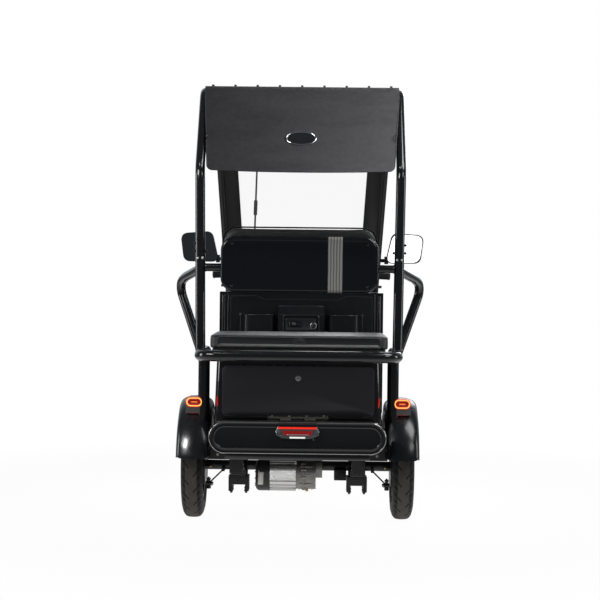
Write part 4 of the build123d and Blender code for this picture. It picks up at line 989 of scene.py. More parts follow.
# %% [markdown]
# The bench cushion is one wide pad. Its rear face slants forward, and carries a pressed panel with a
# plain oval stud, which come after the backrest.

# %% The bench
seat_low, seat_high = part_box("seat_cushion")
seat_mid = (seat_low + seat_high) / 2
SEAT_HALF = (seat_high.x - seat_low.x) / 2 / MM
SEAT_DEEP = (seat_high.y - seat_low.y) / MM
SEAT_THICK = (seat_high.z - seat_low.z) / MM
SEAT_SLANT = 15
SEAT_BULGE = 0.8


def bench_form():
    """The bench's cover before it is filled: rounded in plan, its rear face slanted, its edges soft."""
    bm = bmesh.new()
    loops = []
    half_d = SEAT_DEEP / 2
    for share, inset in ((0, 3), (0.04, 0.5), (0.5, 0), (0.9, 0.6), (0.97, 3), (1, 9)):
        outline = corner_loop(SEAT_HALF - SEAT_BULGE - inset, half_d - SEAT_BULGE - inset, 46 - inset, 8)
        z = seat_low.z + (0.5 + (SEAT_THICK - 2.5) * share) * MM
        loop = []
        for x, y in outline:
            slant = SEAT_SLANT * share * max(0, -y / half_d)
            loop.append(bm.verts.new((x * MM, seat_mid.y + (y + slant) * MM, z)))
        loops.append(loop)
    return skinned(bm, loops)


upholstered(inflated("bench_cushion", bench_form(), 2.5), seat_vinyl, "seat_cushion")

# %% [markdown]
# The back cushion is pinned by a seam to a stiff edge, so it is fuller in its middle than at its rim.

# %% The back cushion
back_low, back_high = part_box("backrest_cushion")
back_mid = (back_low + back_high) / 2
BACK_HALF = (back_high.x - back_low.x) / 2 / MM
BACK_TALL = (back_high.z - back_low.z) / MM
BACK_DEEP = (back_high.y - back_low.y) / MM
levels = [
    (BACK_HALF - 10, BACK_TALL / 2 - 10, 50, 0), (BACK_HALF - 4, BACK_TALL / 2 - 4, 54, 6),
    (BACK_HALF - 4, BACK_TALL / 2 - 4, 54, BACK_DEEP - 20),
    (BACK_HALF - 9, BACK_TALL / 2 - 9, 50, BACK_DEEP - 8),
    (BACK_HALF - 24, BACK_TALL / 2 - 24, 40, BACK_DEEP - 4),
]
pad = bmesh.new()
put(pad, stacked(levels, 8, back=True), (0, back_low.y + 1 * MM, back_mid.z), [("Z", 180)])
upholstered(inflated("back_cushion", pad, 4), seat_vinyl, "backrest_cushion")


def back_outline(half_w, half_h, corner, y):
    """A rounded outline about the back cushion's middle, at a place along the vehicle."""
    return [Vector((x * MM, y, back_mid.z + z * MM)) for x, z in corner_loop(half_w, half_h, corner, 10)]


piping = bmesh.new()
for out in (9, BACK_DEEP - 14):
    ring = back_outline(BACK_HALF - 1.6, BACK_TALL / 2 - 1.6, 54, back_low.y + out * MM)
    put(piping, cord(ring, 2.4, closed=True))
finished("back_piping", piping, soft_rubber, BODY_OF["backrest_cushion"], sharp=60)

# %% [markdown]
# ## Mudguards
# A mudguard is pressed from one sheet: a crowned section swept round the wheel, with a rolled hem along
# its rim and rounded rear corners.

# %% A pressed mudguard
GUARD_CROWN = 44
GUARD_LIP = 10
CROWN_POWER = 0.55
SIDE_POWER = 1.18


def mudguard(half, radius, first, last, corner):
    """A guard about its wheel's middle; degrees run from straight ahead over the top to the rear."""
    bm = bmesh.new()
    section = []
    points, steps = 20, 44
    for i in range(points + 1):
        t = math.radians(-90 + 180 * i / points)
        flat = abs(math.sin(t)) ** SIDE_POWER * (1 if t > 0 else -1)
        section.append((half * flat, GUARD_CROWN * max(0.0, math.cos(t)) ** CROWN_POWER))
    rows = []
    for k in range(steps + 1):
        share = k / steps
        degrees = first + (last - first) * share
        from_end = (1 - share) * (last - first) * math.pi / 180 * radius
        row = []
        for x, rise in section:
            lift = 0.0
            edge = half - abs(x)
            if from_end < corner and edge < corner:
                inner = corner - edge
                lift = (corner - math.sqrt(max(0, corner**2 - inner**2))) * (1 - from_end / corner)
            turn = math.radians(degrees) - lift / radius
            r = radius - GUARD_CROWN + rise - GUARD_LIP * (1 if abs(x) > half * 0.995 else 0)
            row.append(bm.verts.new((x * MM, r * MM * math.cos(turn), r * MM * math.sin(turn))))
        rows.append(row)
    for low, high in zip(rows, rows[1:]):
        for j in range(len(section) - 1):
            bm.faces.new((low[j], low[j + 1], high[j + 1], high[j]))
    bmesh.ops.recalc_face_normals(bm, faces=bm.faces)
    bm.faces.ensure_lookup_table()
    top = bm.faces[len(section) // 2 + (steps // 2) * (len(section) - 1)]
    if top.normal.dot(top.calc_center_median()) < 0:
        bmesh.ops.reverse_faces(bm, faces=bm.faces)
    return bm


def walled(piece, wall):
    """Gives a sheet its thickness, inwards, and softens its rim."""
    shell = piece.modifiers.new("sheet thickness", "SOLIDIFY")
    shell.thickness = wall * MM
    shell.offset = -1
    soft = piece.modifiers.new("rolled rim", "BEVEL")
    soft.width = wall * 0.4 * MM
    soft.segments = 2
    soft.limit_method = "ANGLE"
    soft.angle_limit = math.radians(50)


GUARD_RADIUS = (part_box("rear_mudguards")[1].z - AXLE_Z) / MM
GUARD_OUT, GUARD_IN = 460, 334
GUARD_HALF = (GUARD_OUT - GUARD_IN) / 2
GUARD_ENDS = (20, 169)  # degrees
GUARD_WALL = 3
wheel_middle = spot((GUARD_OUT + GUARD_IN) / 2, 0, AXLE_Z / MM)
guards = bmesh.new()
for side in (False, True):
    put(guards, mudguard(GUARD_HALF, GUARD_RADIUS, *GUARD_ENDS, 22), wheel_middle, flip=side)
guard_gloss = finish(
    "gloss mudguard", (0.0075, 0.008, 0.0095), (0.005, 0.0055, 0.0065), (0.2, 0.25), 4.0, 0.15,
    bump=(120, 0.02, 0.9), coat=0.15,
)
pressed = finished(
    "rear_guards", guards, guard_gloss, "chassis", "rear_mudguards", sharp=60,
    clean=False,
)
walled(pressed, GUARD_WALL)

hems = bmesh.new()
for side in (False, True):
    for x in (-GUARD_HALF, GUARD_HALF):
        path = []
        for k in range(50):
            turn = math.radians(21 + 146 * k / 49)
            r = (GUARD_RADIUS - GUARD_CROWN - GUARD_LIP) * MM
            path.append(Vector((x * MM, r * math.cos(turn), r * math.sin(turn))))
        for start, end in zip(path, path[1:]):
            put(hems, bar(start + wheel_middle, end + wheel_middle, 2.4, 8), flip=side)
finished("guard_hems", hems, guard_gloss, "chassis", sharp=60)

# %% Countersunk screws on the mudguards
def on_guard(x, height):
    """A point on the rear of a mudguard's crown, told from its wheel's middle."""
    t = abs(x) / GUARD_HALF
    angle = math.asin(min(1, t ** (1 / SIDE_POWER)))
    r = GUARD_RADIUS - GUARD_CROWN + GUARD_CROWN * math.cos(angle) ** CROWN_POWER
    up = height - AXLE_Z / MM
    back = math.sqrt(r * r - up * up)
    return Vector((x, -back, up)) * MM


details = bmesh.new()
for side in (False, True):
    for x, aside in ((44.5, 25), (-5, -2)):
        where = on_guard(x, 323) + wheel_middle
        ring = turned([(6.6, -0.8), (6.4, 1.2), (5.6, 1.8), (4.8, 1.4), (4.4, 0.4)], 22)
        pit = turned([(4.6, 0.3), (2.4, 0.3), (2.0, 0.9), (0, 1.0)], 22)
        put(details, ring, where, [("X", 64), ("Z", aside)], flip=side, material=1)
        put(details, pit, where, [("X", 64), ("Z", aside)], flip=side)
finished("guard_screws", details, [dark_case, guard_gloss], "chassis", sharp=50)

print("mudguards: pressed sheet, radius", round(GUARD_RADIUS, 1))

# %% [markdown]
# ## Lamps
# A lit lamp is built from outside to inside: a dark case, a red rim, the light guide with its yellow
# core, and a deep red lens. Each band glows in its own colour, so the ring looks hot in its middle.

# %% Lamp glass and light
def glowing(name, color, strength):
    """A lens that is lit from behind, a little uneven, under a clear gloss."""
    material = bpy.data.materials.new(name)
    material.use_nodes = True
    tree = material.node_tree
    place = add(tree, "TexCoord").outputs["Object"]
    cells = add(tree, "TexVoronoi", {"Vector": place, "Scale": 520.0}).outputs["Distance"]
    skin = use(tree, PATINA, {"Vector": place, "Scale": 30.0, "Smooth": 0.12, "Dull": 0.2, "Dust": 0.3})
    look = {"Base Color": (*[c * 0.5 for c in color], 1), "Emission Color": (*color, 1), "Coat Weight": 0.6}
    look["Emission Strength"] = ranged(tree, cells, new=(strength * 1.15, strength * 0.8))
    look |= {"Roughness": skin["Roughness"], "Normal": bumped(tree, cells, 0.3, 0.6)}
    fed(tree, tree.nodes["Principled BSDF"], look)
    return material


red_lens = glowing("deep red lens", (0.30, 0.004, 0.004), 0.55)
red_rim = glowing("red rim", (0.86, 0.02, 0.008), 0.95)
orange_guide = glowing("orange light guide", (1.0, 0.22, 0.03), 1.0)
yellow_guide = glowing("yellow light guide", (1.0, 0.68, 0.17), 1.05)
# The reflectors are no lamps: their emission is a painted glow that stands for the light they throw back.
reflector_painted_glow = glowing("red reflector", (0.75, 0.012, 0.016), 0.34)
amber_lens = glowing("amber lens", (0.9, 0.27, 0.02), 0.12)
lamp_grey = finish(
    "grey lamp foot", (0.13, 0.125, 0.12), (0.09, 0.087, 0.084), (0.3, 0.42), 20.0, 0.3,
    bump=(800, 0.05, 0.2),
)
grey_band = finish(
    "grey lamp band", (0.1, 0.12, 0.12), (0.06, 0.075, 0.075), (0.18, 0.3), 20.0, 0.2,
    bump=(300, 0.03, 0.5),
)

# %% Tail lamps on their feet
LAMP_X = 396
LAMP_BACK = 186
LAMP_H = 464
# (half width, half height, corner radius, distance toward the rear, material)
LAMP_LEVELS = [
    (27, 14, 14, 0, 0), (31.5, 18.5, 18.5, 6, 0), (33, 20, 20, 14, 0), (33, 20, 20, 80, 0),
    (32.3, 19.3, 19.3, 84, 1), (30.6, 17.6, 17.6, 85.6, 2), (29, 16, 16, 86, 3), (26.3, 13.3, 13.3, 86, 2),
    (24.9, 11.9, 11.9, 85.4, 1), (23.6, 10.6, 10.6, 83.6, 4), (21, 8, 8, 83, 4), (17, 5, 5, 84.2, 4),
    (11.5, 2.4, 2.4, 84.4, 4),
]


def tail_lamp(side):
    """One lamp: its head, the foot on the mudguard, the reflector under it with a painted glow, and a short
    bar of light.
    """
    bm = bmesh.new()
    levels = [level[:4] for level in LAMP_LEVELS]
    kept(
        bm, stacked(levels, 10, materials=[level[4] for level in LAMP_LEVELS[:-1]] + [4]),
        spot(LAMP_X, -LAMP_BACK + 86, LAMP_H),
    )
    put(
        bm, raised((12, 2, 2, 1), (11, 1.2, 1.2, 1.6), 5), spot(LAMP_X, -LAMP_BACK + 1.8, LAMP_H),
        material=2,
    )
    foot = raised((32.5, 25, 3, 70), (31.5, 24, 3, 72), 3, lean=1.5)
    put(bm, foot, spot(LAMP_X, -LAMP_BACK + 76, LAMP_H - 18), material=5)
    strip = raised((21, 2, 2, 2), (20, 1.2, 1.2, 3), 5)
    put(bm, strip, spot(LAMP_X, -LAMP_BACK + 12.4, LAMP_H - 42.4), material=6)
    bmesh.ops.scale(bm, verts=bm.verts, vec=(side, 1, 1))
    return bm


lamps = bmesh.new()
for side in (-1, 1):
    kept(lamps, tail_lamp(side))
finished(
    "tail_lamp_heads", lamps,
    [dark_case, red_rim, orange_guide, yellow_guide, red_lens, lamp_grey, reflector_painted_glow], "chassis",
    "tail_lamps", sharp=28,
)

# %% [markdown]
# The centre lamp is a cast bright case, wide and low, cut away at its lower corners. It holds a thin
# upper red strip, a grey band, a taller red lens with a polished lower lip, and a clear strip that
# lights the number plate.

# %% The centre lamp
centre_low, centre_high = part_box("centre_lamp")
centre_mid = (centre_low + centre_high) / 2
CASE = [
    (-73, 22.5), (73, 22.5), (80.5, 6), (80, -9), (60, -20), (40, -22.5), (-40, -22.5), (-60, -20),
    (-80, -9), (-80.5, 6),
]


def facet_block(points, deep, inset, material=0):
    """A plate from a corner list in the XZ plane, with a chamfer toward the viewer."""
    bm = bmesh.new()
    middle = Vector((sum(x for x, z in points), sum(z for x, z in points))) / len(points)
    loops = []
    for out, shrink in ((0, 0), (deep - inset, 0), (deep, inset)):
        loop = []
        for x, z in points:
            toward = (middle - Vector((x, z))).normalized() * shrink
            loop.append(bm.verts.new(((x + toward.x) * MM, -out * MM, (z + toward.y) * MM)))
        loops.append(loop)
    return skinned(bm, loops, [material] * len(loops))


gunmetal = finish(
    "bright lamp case", (0.3, 0.31, 0.32), (0.2, 0.21, 0.22), (0.14, 0.26), 30.0, 0.2,
    bump=(400, 0.03, 0.5), metal=0.9,
)
lamp = bmesh.new()
face_y = centre_low.y
centre = Vector((centre_mid.x, face_y + 12 * MM, centre_mid.z))
kept(lamp, facet_block(CASE, 9, 2.5, 0), centre)
# (half width and height at the top, the same at the foot, thickness, chamfer, material)
FACES = [
    (73, 21.5, 71, 14.5, 12, 1.2, 1), (62, 13.5, 60, 8, 10.6, 0.8, 2), (55, 7.5, 52, -9.5, 11.4, 2.5, 3),
    (30, -14.5, 28, -20.5, 11.2, 1.0, 4),
]
for top_w, top, foot_w, foot, deep, inset, material in FACES:
    corners = [(-top_w, top), (top_w, top), (foot_w, foot), (-foot_w, foot)]
    kept(lamp, facet_block(corners, deep, inset, material), centre)
for side in (-1, 1):
    end = [(side * 58, 11.5), (side * 78, 6), (side * 78, -8.5), (side * 60, -17), (side * 56, -9)]
    kept(lamp, facet_block(end if side > 0 else end[::-1], 11.6, 5, 0), centre)
    peak = [(side * 66, 21), (side * 73, 21), (side * 79, 7.5), (side * 66, 13)]
    kept(lamp, facet_block(peak if side > 0 else peak[::-1], 11.8, 3, 5), centre)
ridge = raised((40, 1.1, 1, 1), (39, 0.5, 0.5, 1.6), 4)
put(lamp, ridge, centre + Vector((0, -11.3 * MM, -6 * MM)), material=5)
plate_light = glowing("plate light", (0.95, 0.96, 0.92), 0.75)
finished(
    "centre_lamp_lenses", lamp, [gunmetal, red_rim, grey_band, red_lens, plate_light, chrome], "chassis",
    "centre_lamp", sharp=20, clean=False,
)

# %% [markdown]
# ## Bumper
# The bumper's outline is a long stadium. Its front edge is rolled; a bright bead lies in the roll, and
# inside a second roll the face steps back to a flat panel. The bead's silver and the second roll's
# lighter black are painted highlights along the two rolled edges.

# %% The bumper
bumper_low, bumper_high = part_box("bumper")
BUMPER_W = (bumper_high.x - bumper_low.x) / 2 / MM
BUMPER_H = 61.5
BUMPER_MID = 345.5
BUMPER_D = (bumper_high.y - bumper_low.y) / MM
# (inset from the outline, distance toward the rear, material)
ROLL = [
    (6, 0, 0), (0, 4, 0), (0, BUMPER_D - 7, 0), (0.8, BUMPER_D - 4, 0), (2.2, BUMPER_D - 1.6, 0),
    (3.4, BUMPER_D - 0.6, 1), (4.0, BUMPER_D, 1), (4.7, BUMPER_D, 1), (5.4, BUMPER_D - 0.8, 0),
    (9, BUMPER_D - 1.6, 0), (16, BUMPER_D - 1.6, 0), (19.5, BUMPER_D - 0.7, 0), (21, BUMPER_D - 0.5, 2),
    (22.6, BUMPER_D - 0.9, 2), (24, BUMPER_D - 2.4, 0), (24.6, BUMPER_D - 4.6, 0), (27, BUMPER_D - 5, 3),
]
# The bead's silver is a painted highlight: a bright line standing in for the light along the rolled edge.
bead_painted_highlight = finish(
    "bright bead", (0.42, 0.42, 0.41), (0.3, 0.3, 0.29), (0.12, 0.22), 20.0, 0.2, bump=(300, 0.02, 0.5),
    metal=0.9,
)
# The second roll's lighter, glossier black is a painted highlight, a lit copy of the body's gloss.
roll_painted_highlight = finish(
    "rolled edge", (0.03, 0.03, 0.031), (0.02, 0.02, 0.021), (0.05, 0.12), 12.0, 0.2, bump=(300, 0.01, 0.5),
    coat=1.0,
)
bumper_panel = finish(
    "bumper panel", (0.0085, 0.0095, 0.0105), (0.0065, 0.0075, 0.0085), (0.3, 0.4), 5.0, 0.2,
    bump=(900, 0.02, 0.3), specular=0.25,
)
door_gloss = finish(
    "pressed door", (0.025, 0.0245, 0.028), (0.021, 0.0206, 0.0238), (0.24, 0.27), 4.0, 0.2,
    bump=(160, 0.02, 0.9),
)
levels = [(BUMPER_W - inset, BUMPER_H - inset, BUMPER_H - inset - 0.5, out) for inset, out, _ in ROLL]
bumper = bmesh.new()
kept(
    bumper, stacked(levels, 14, back=True, materials=[kind for _, _, kind in ROLL[1:]] + [3]),
    (0, bumper_high.y, BUMPER_MID * MM),
)
skirt = raised((272, 16, 6, BUMPER_D - 12), (268, 14, 5, BUMPER_D - 10), 5)
put(bumper, skirt, (0, bumper_high.y, 279 * MM))
finished(
    "bumper_shell", bumper, [body_gloss, bead_painted_highlight, roll_painted_highlight, bumper_panel], "chassis", "bumper",
    sharp=50,
)

screws = bmesh.new()
for x, height in ((0, 299), (60, 340)):
    put(screws, cap_head(2.6, 1.6), spot(x, -335.4, height), [("X", 90)])
finished("bumper_screws", screws, zinc, "chassis", sharp=30)

# %% [markdown]
# ## The tail of the body
# The door is a plain pressed panel on a long hinge at its foot. A round lock sits high in its middle, and
# a slim red reflector is let into each rear corner of the body.

# %% Tail door, hinge and lock
door_low, door_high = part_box("tail_door")
DOOR_HALF = (door_high.x - door_low.x) / 2 / MM
DOOR_BOTTOM, DOOR_TOP = 418, 611
DOOR_FACE = -260.3
HINGE_AHEAD, HINGE_H = -268, 408
LOCK_H = 563
door = bmesh.new()
half_h = (DOOR_TOP - DOOR_BOTTOM) / 2
panel = stacked(
    [(DOOR_HALF - 1, half_h - 1, 22, 0), (DOOR_HALF, half_h, 23, 1), (DOOR_HALF, half_h, 23, 7.4),
     (DOOR_HALF - 0.8, half_h - 0.8, 22, 9.2), (DOOR_HALF - 2.4, half_h - 2.4, 20, 10)], 6, back=True,
)
put(door, panel, spot(0, DOOR_FACE + 10, (DOOR_TOP + DOOR_BOTTOM) / 2))
finished("tail_door_panel", door, door_gloss, "tail_door", "tail_door", sharp=40)

hinge = bmesh.new()
put(hinge, raised((115, 8, 2, 1.6), (114.4, 7.4, 1.6, 2), 3), spot(0, DOOR_FACE, 417), material=1)
put(hinge, raised((114, 3.4, 1, 1.0), (113.4, 3, 0.8, 1.4), 3), spot(0, DOOR_FACE - 2, 414.5))
for i in range(5):
    x = 46 * (i - 2)
    put(
        hinge, bar(spot(x - 21, HINGE_AHEAD, HINGE_H), spot(x + 21, HINGE_AHEAD, HINGE_H), 4.4, 14),
        material=0 if i % 2 else 1,
    )
for x in (-96, -32, 32, 96):
    put(hinge, cap_head(4.6, 2.6), spot(x, DOOR_FACE - 2, 418.5), [("X", 90)], material=2)
hinge_steel = finish(
    "hinge steel", (0.34, 0.31, 0.25), (0.26, 0.235, 0.19), (0.25, 0.4), 20.0, 0.3, bump=(900, 0.03, 0.3),
    metal=0.9,
)
finished("tail_hinge", hinge, [hinge_steel, body_gloss, satin_steel], "tail_door", sharp=30)

lock = bmesh.new()
put(
    lock,
    turned(
        [(0, 0), (11, 0), (11, 2.6), (9.8, 4.2), (8, 4.6), (7.4, 3.2), (6.6, 3.2), (6.2, 4.4), (0, 4.4)],
        32,
    ),
)
put(
    lock, stacked([(3.4, 0.9, 0.9, 0), (3.4, 0.9, 0.9, 0.3)], 4), (0, 0, 4.5 * MM), [("X", -90)],
    material=1,
)
cylinder = bmesh.new()
kept(cylinder, lock, spot(0, DOOR_FACE, LOCK_H), [("X", 90)])
finished(
    "door_lock_barrel", cylinder, [satin_steel, dark_case], "tail_door", "door_lock",
    sharp=30,
)

# %% Side reflectors in the body's rear corners
# Their red glow is painted light: the reflectors shine by emission, not by returning the studio's light.
REFLECTOR_HALF = 22
REFLECTOR_WIDE = 3.6
reflectors = bmesh.new()
for side in (-1, 1):
    drop = bmesh.new()
    rows = []
    for i in range(13):
        share = i / 12
        width = REFLECTOR_WIDE * math.sin(math.pi * share**1.25) ** 0.7 if 0 < i < 12 else 0.15
        proud = 2.2 * math.sin(math.pi * share) + 0.2
        z = REFLECTOR_HALF * (1 - 2 * share)
        rows.append(
            [drop.verts.new(Vector(p) * MM) for p in ((-width, 0, z), (0, -proud, z), (width, 0, z))]
        )
    for low, high in zip(rows, rows[1:]):
        for k in range(2):
            drop.faces.new((low[k], low[k + 1], high[k + 1], high[k]))
    put(reflectors, drop, spot(side * 304.5, -244.5, 474), [("Z", side * 30), ("Y", side * 2.2)])
finished("corner_reflectors", reflectors, reflector_painted_glow, "chassis", sharp=60, clean=False)
print("tail: lamps, bumper, door and reflectors")

# %% [markdown]
# ## The drive
# The motor's housing is a drawn alloy section: long ribs round a drum, with two flats that catch the
# light. `drawn` sweeps such a section along X, with its ends chamfered.

# %% A drawn section
def drawn(outline, x0, x1, chamfer=1.5):
    """A closed (ahead, height) outline in millimetres run along X, its ends drawn in by a chamfer."""
    bm = bmesh.new()
    middle = Vector((sum(a for a, z in outline), sum(z for a, z in outline))) / len(outline)
    loops = []
    for x, shrink in ((x0, chamfer), (x0 + chamfer, 0), (x1 - chamfer, 0), (x1, chamfer)):
        loop = []
        for a, z in outline:
            inward = (middle - Vector((a, z))).normalized() * shrink
            loop.append(bm.verts.new(spot(x, a + inward.x, z + inward.y)))
        loops.append(loop)
    return skinned(bm, loops)


MOTOR_RADIUS = 59.5
MOTOR_AHEAD = -90
MOTOR_HEIGHT = 177
RIBS = (-158, -128, -100, -78, -55, -36, -19, 32, 40, 58, 74, 90, 106, 128, 160)  # degrees up from the rear
FLATS = ((-13, 26), (-33, -22), (44, 54))


def about_motor(x, radius, angle):
    """A point round the motor's axis; the angle, in radians, rises from straight ahead."""
    return spot(x, MOTOR_AHEAD + radius * math.cos(angle), MOTOR_HEIGHT + radius * math.sin(angle))


def motor_outline():
    """The housing's section: a drum with narrow ribs and a few flats between them."""
    outline = []
    for step in range(240):
        angle = -180 + 1.5 * step
        radius = MOTOR_RADIUS - 5.5
        for low, high in FLATS:
            if low <= angle <= high:
                radius = (MOTOR_RADIUS - 3.2) * math.cos(math.radians((high - low) / 2))
                radius /= math.cos(math.radians(angle - (low + high) / 2))
        if any(abs(angle - rib) <= 2.3 for rib in RIBS):
            radius = MOTOR_RADIUS
        turn = math.radians(angle)
        outline.append((MOTOR_AHEAD - radius * math.cos(turn), MOTOR_HEIGHT + radius * math.sin(turn)))
    return outline


finished(
    "motor_housing", drawn(motor_outline(), -108, -5.5), bright_alloy, "chassis", "drive_motor",
    sharp=25,
)

# %% The motor's black cap and its blank label
# (radius, distance inward from the cap's outer end)
CAP_PROFILE = [
    (0, 0), (36, 0), (48, 1.5), (54, 5), (58, 10), (59.5, 16), (59.5, 40), (58.6, 41), (58.6, 44),
    (59.7, 45), (59.7, 54), (0, 54),
]
cap = bmesh.new()
put(cap, turned(CAP_PROFILE, 64), spot(-162, MOTOR_AHEAD, MOTOR_HEIGHT), [("Y", 90)])
for i in range(10):
    angle = math.tau * i / 10 + 0.2
    put(
        cap, bar((0, 0, 0), (0, 0, 3.2 * MM), 2.6, 10),
        about_motor(-161.2, 40, angle), [("Y", -90)],
    )
finished("motor_end_cap", cap, matt_black, "chassis", "motor_cap", sharp=30)

LABEL_RADIUS = 60.2
label = bmesh.new()
columns = []
for i in range(9):
    turn = math.radians(-26 + 52 * i / 8)
    column = []
    lean = 1.6 * (i / 8)
    for x in (-151.5, -131.5):
        ahead = MOTOR_AHEAD - LABEL_RADIUS * math.cos(turn)
        place = spot(x + lean, ahead, MOTOR_HEIGHT - 4 + LABEL_RADIUS * math.sin(turn))
        column.append(label.verts.new(place))
    columns.append(column)
for low, high in zip(columns, columns[1:]):
    label.faces.new((low[0], low[1], high[1], high[0]))
paper_label = finish(
    "label foil", (0.62, 0.61, 0.58), (0.5, 0.49, 0.46), (0.3, 0.45), 40.0, 0.3, bump=(600, 0.02, 0.5),
)
label_piece = finished("motor_label", label, paper_label, "chassis", sharp=60, clean=False)
foil = label_piece.modifiers.new("foil", "SOLIDIFY")
foil.thickness = 0.0006
foil.offset = 1

# %% [markdown]
# The gearbox is cast in two halves round the axle and the motor's pinion. Its form comes from the
# construction; a seam flange with bolts, webs and a brass drain plug make it a casting.

# %% Gearbox flange, webs and plugs
dressed("gearbox", cast_alloy, 2.0)


def two_lobes(grow):
    """The outline of the flange: one round about the pinion, one about the axle, and their tangents."""
    outline = []
    r0, r1 = 52 + grow, 46 + grow
    axle_height = AXLE_Z / MM
    for step in range(25):
        turn = math.radians(100 + 180 * step / 24)
        outline.append((MOTOR_AHEAD + r0 * math.cos(turn), MOTOR_HEIGHT + r0 * math.sin(turn)))
    for step in range(25):
        turn = math.radians(-80 + 180 * step / 24)
        outline.append((r1 * math.cos(turn), axle_height + r1 * math.sin(turn)))
    return outline


casting = bmesh.new()
put(casting, drawn(two_lobes(5), 21, 27, 1.2))
for turn in (118, 150, 182, 214, 246, 275):
    angle = math.radians(turn)
    where = about_motor(20.5, 52.5, angle)
    put(casting, turned([(0, 0), (6, 0), (6, 9), (0, 9)], 18), where + Vector((-1 * MM, 0, 0)), [("Y", 90)])
    put(casting, hex_nut(5, 4.5, 0), where + Vector((8 * MM, 0, 0)), [("Y", 90)], material=1)
    put(casting, hex_nut(5, 4.5, 2.5), where, [("Y", -90)], material=1)
for height, deep in ((183, 3), (150, 2.4), (214, 2.4)):
    reach = math.sqrt(max(0, 52**2 - (height - MOTOR_HEIGHT) ** 2))
    web = raised((29, deep, 2, 3.4), (27, deep - 1.2, 1, 5), 3)
    put(casting, web, spot(33, MOTOR_AHEAD - reach + 2, height))
for x in (4, 54):
    band = []
    for radius, degrees in ((55, range(-120, 121, 8)), (50, range(120, -121, -8))):
        turns = [math.radians(t) for t in degrees]
        band += [(MOTOR_AHEAD - radius * math.cos(t), MOTOR_HEIGHT + radius * math.sin(t)) for t in turns]
    put(casting, drawn(band, x, x + 4, 0.4))
put(
    casting, turned([(0, 0), (5.5, 0), (5.5, 4), (0, 4)], 18), spot(36, MOTOR_AHEAD - 4, 124.6),
    [("X", 180)], material=2,
)
put(casting, hex_nut(6.5, 5), spot(36, MOTOR_AHEAD - 4, 121.4), [("X", 180)], material=2)
finished("gearbox_flange", casting, [cast_alloy, zinc, brass], "chassis", sharp=30)

# %% [markdown]
# ## Springs and axle fittings
# Each spring is a stack of four curved leaves of one radius, shorter toward the ground. Two clips keep
# the leaves in line, and U-bolts over the axle tube hold the clamp plate underneath.

# %% Leaf springs
LEAF_T = 5
SPRING_X = 230
SPRING_HALF = 245
SPRING_TOP = AXLE_Z / MM - 19.3
SPRING_BOW = (SPRING_HALF**2 + 70**2) / (2 * 70)


def leaf(half_length, layer):
    """One leaf: a strip bent to the spring's radius, with its ends trimmed at the corners."""
    bm = bmesh.new()
    outer = SPRING_BOW - 20 + layer * LEAF_T + LEAF_T - 0.3
    inner = outer - LEAF_T + 0.6
    centre_h = SPRING_TOP - 20 + SPRING_BOW
    rows = []
    steps = 28
    for i in range(steps + 1):
        along = half_length * (2 * i / steps - 1)
        angle = math.asin(max(-1, min(1, along / SPRING_BOW)))
        taper = 9 if i in (0, steps) else 0
        row = []
        for x, radius in (
            (-25 + taper, outer), (25 - taper, outer), (25 - taper, inner), (-25 + taper, inner),
        ):
            place = spot(SPRING_X + x, radius * math.sin(angle), centre_h - radius * math.cos(angle))
            row.append(bm.verts.new(place))
        rows.append(row)
    return skinned(bm, rows)


springs = bmesh.new()
for side in (False, True):
    for layer, share in enumerate((1.0, 0.82, 0.62, 0.4)):
        put(springs, leaf(SPRING_HALF * share, layer), flip=side)
    for end in (-1, 1):
        clip = raised((28, 13, 3, 14), (27, 12, 2, 15), 3, back=True)
        angle = math.asin(end * 128 / SPRING_BOW)
        height = SPRING_TOP - 20 + SPRING_BOW * (1 - math.cos(angle)) + 10
        put(springs, clip, spot(SPRING_X, end * 128 + 7.5, height), flip=side)
    for end in (-1, 1):
        eye = [spot(SPRING_X + x, end * 248, 262) for x in (-31, 31)]
        put(springs, bar(*eye, 7, 16), flip=side)
finished(
    "spring_leaves", springs, frame_paint, "chassis", "leaf_springs", sharp=30, bevel=0.8,
)

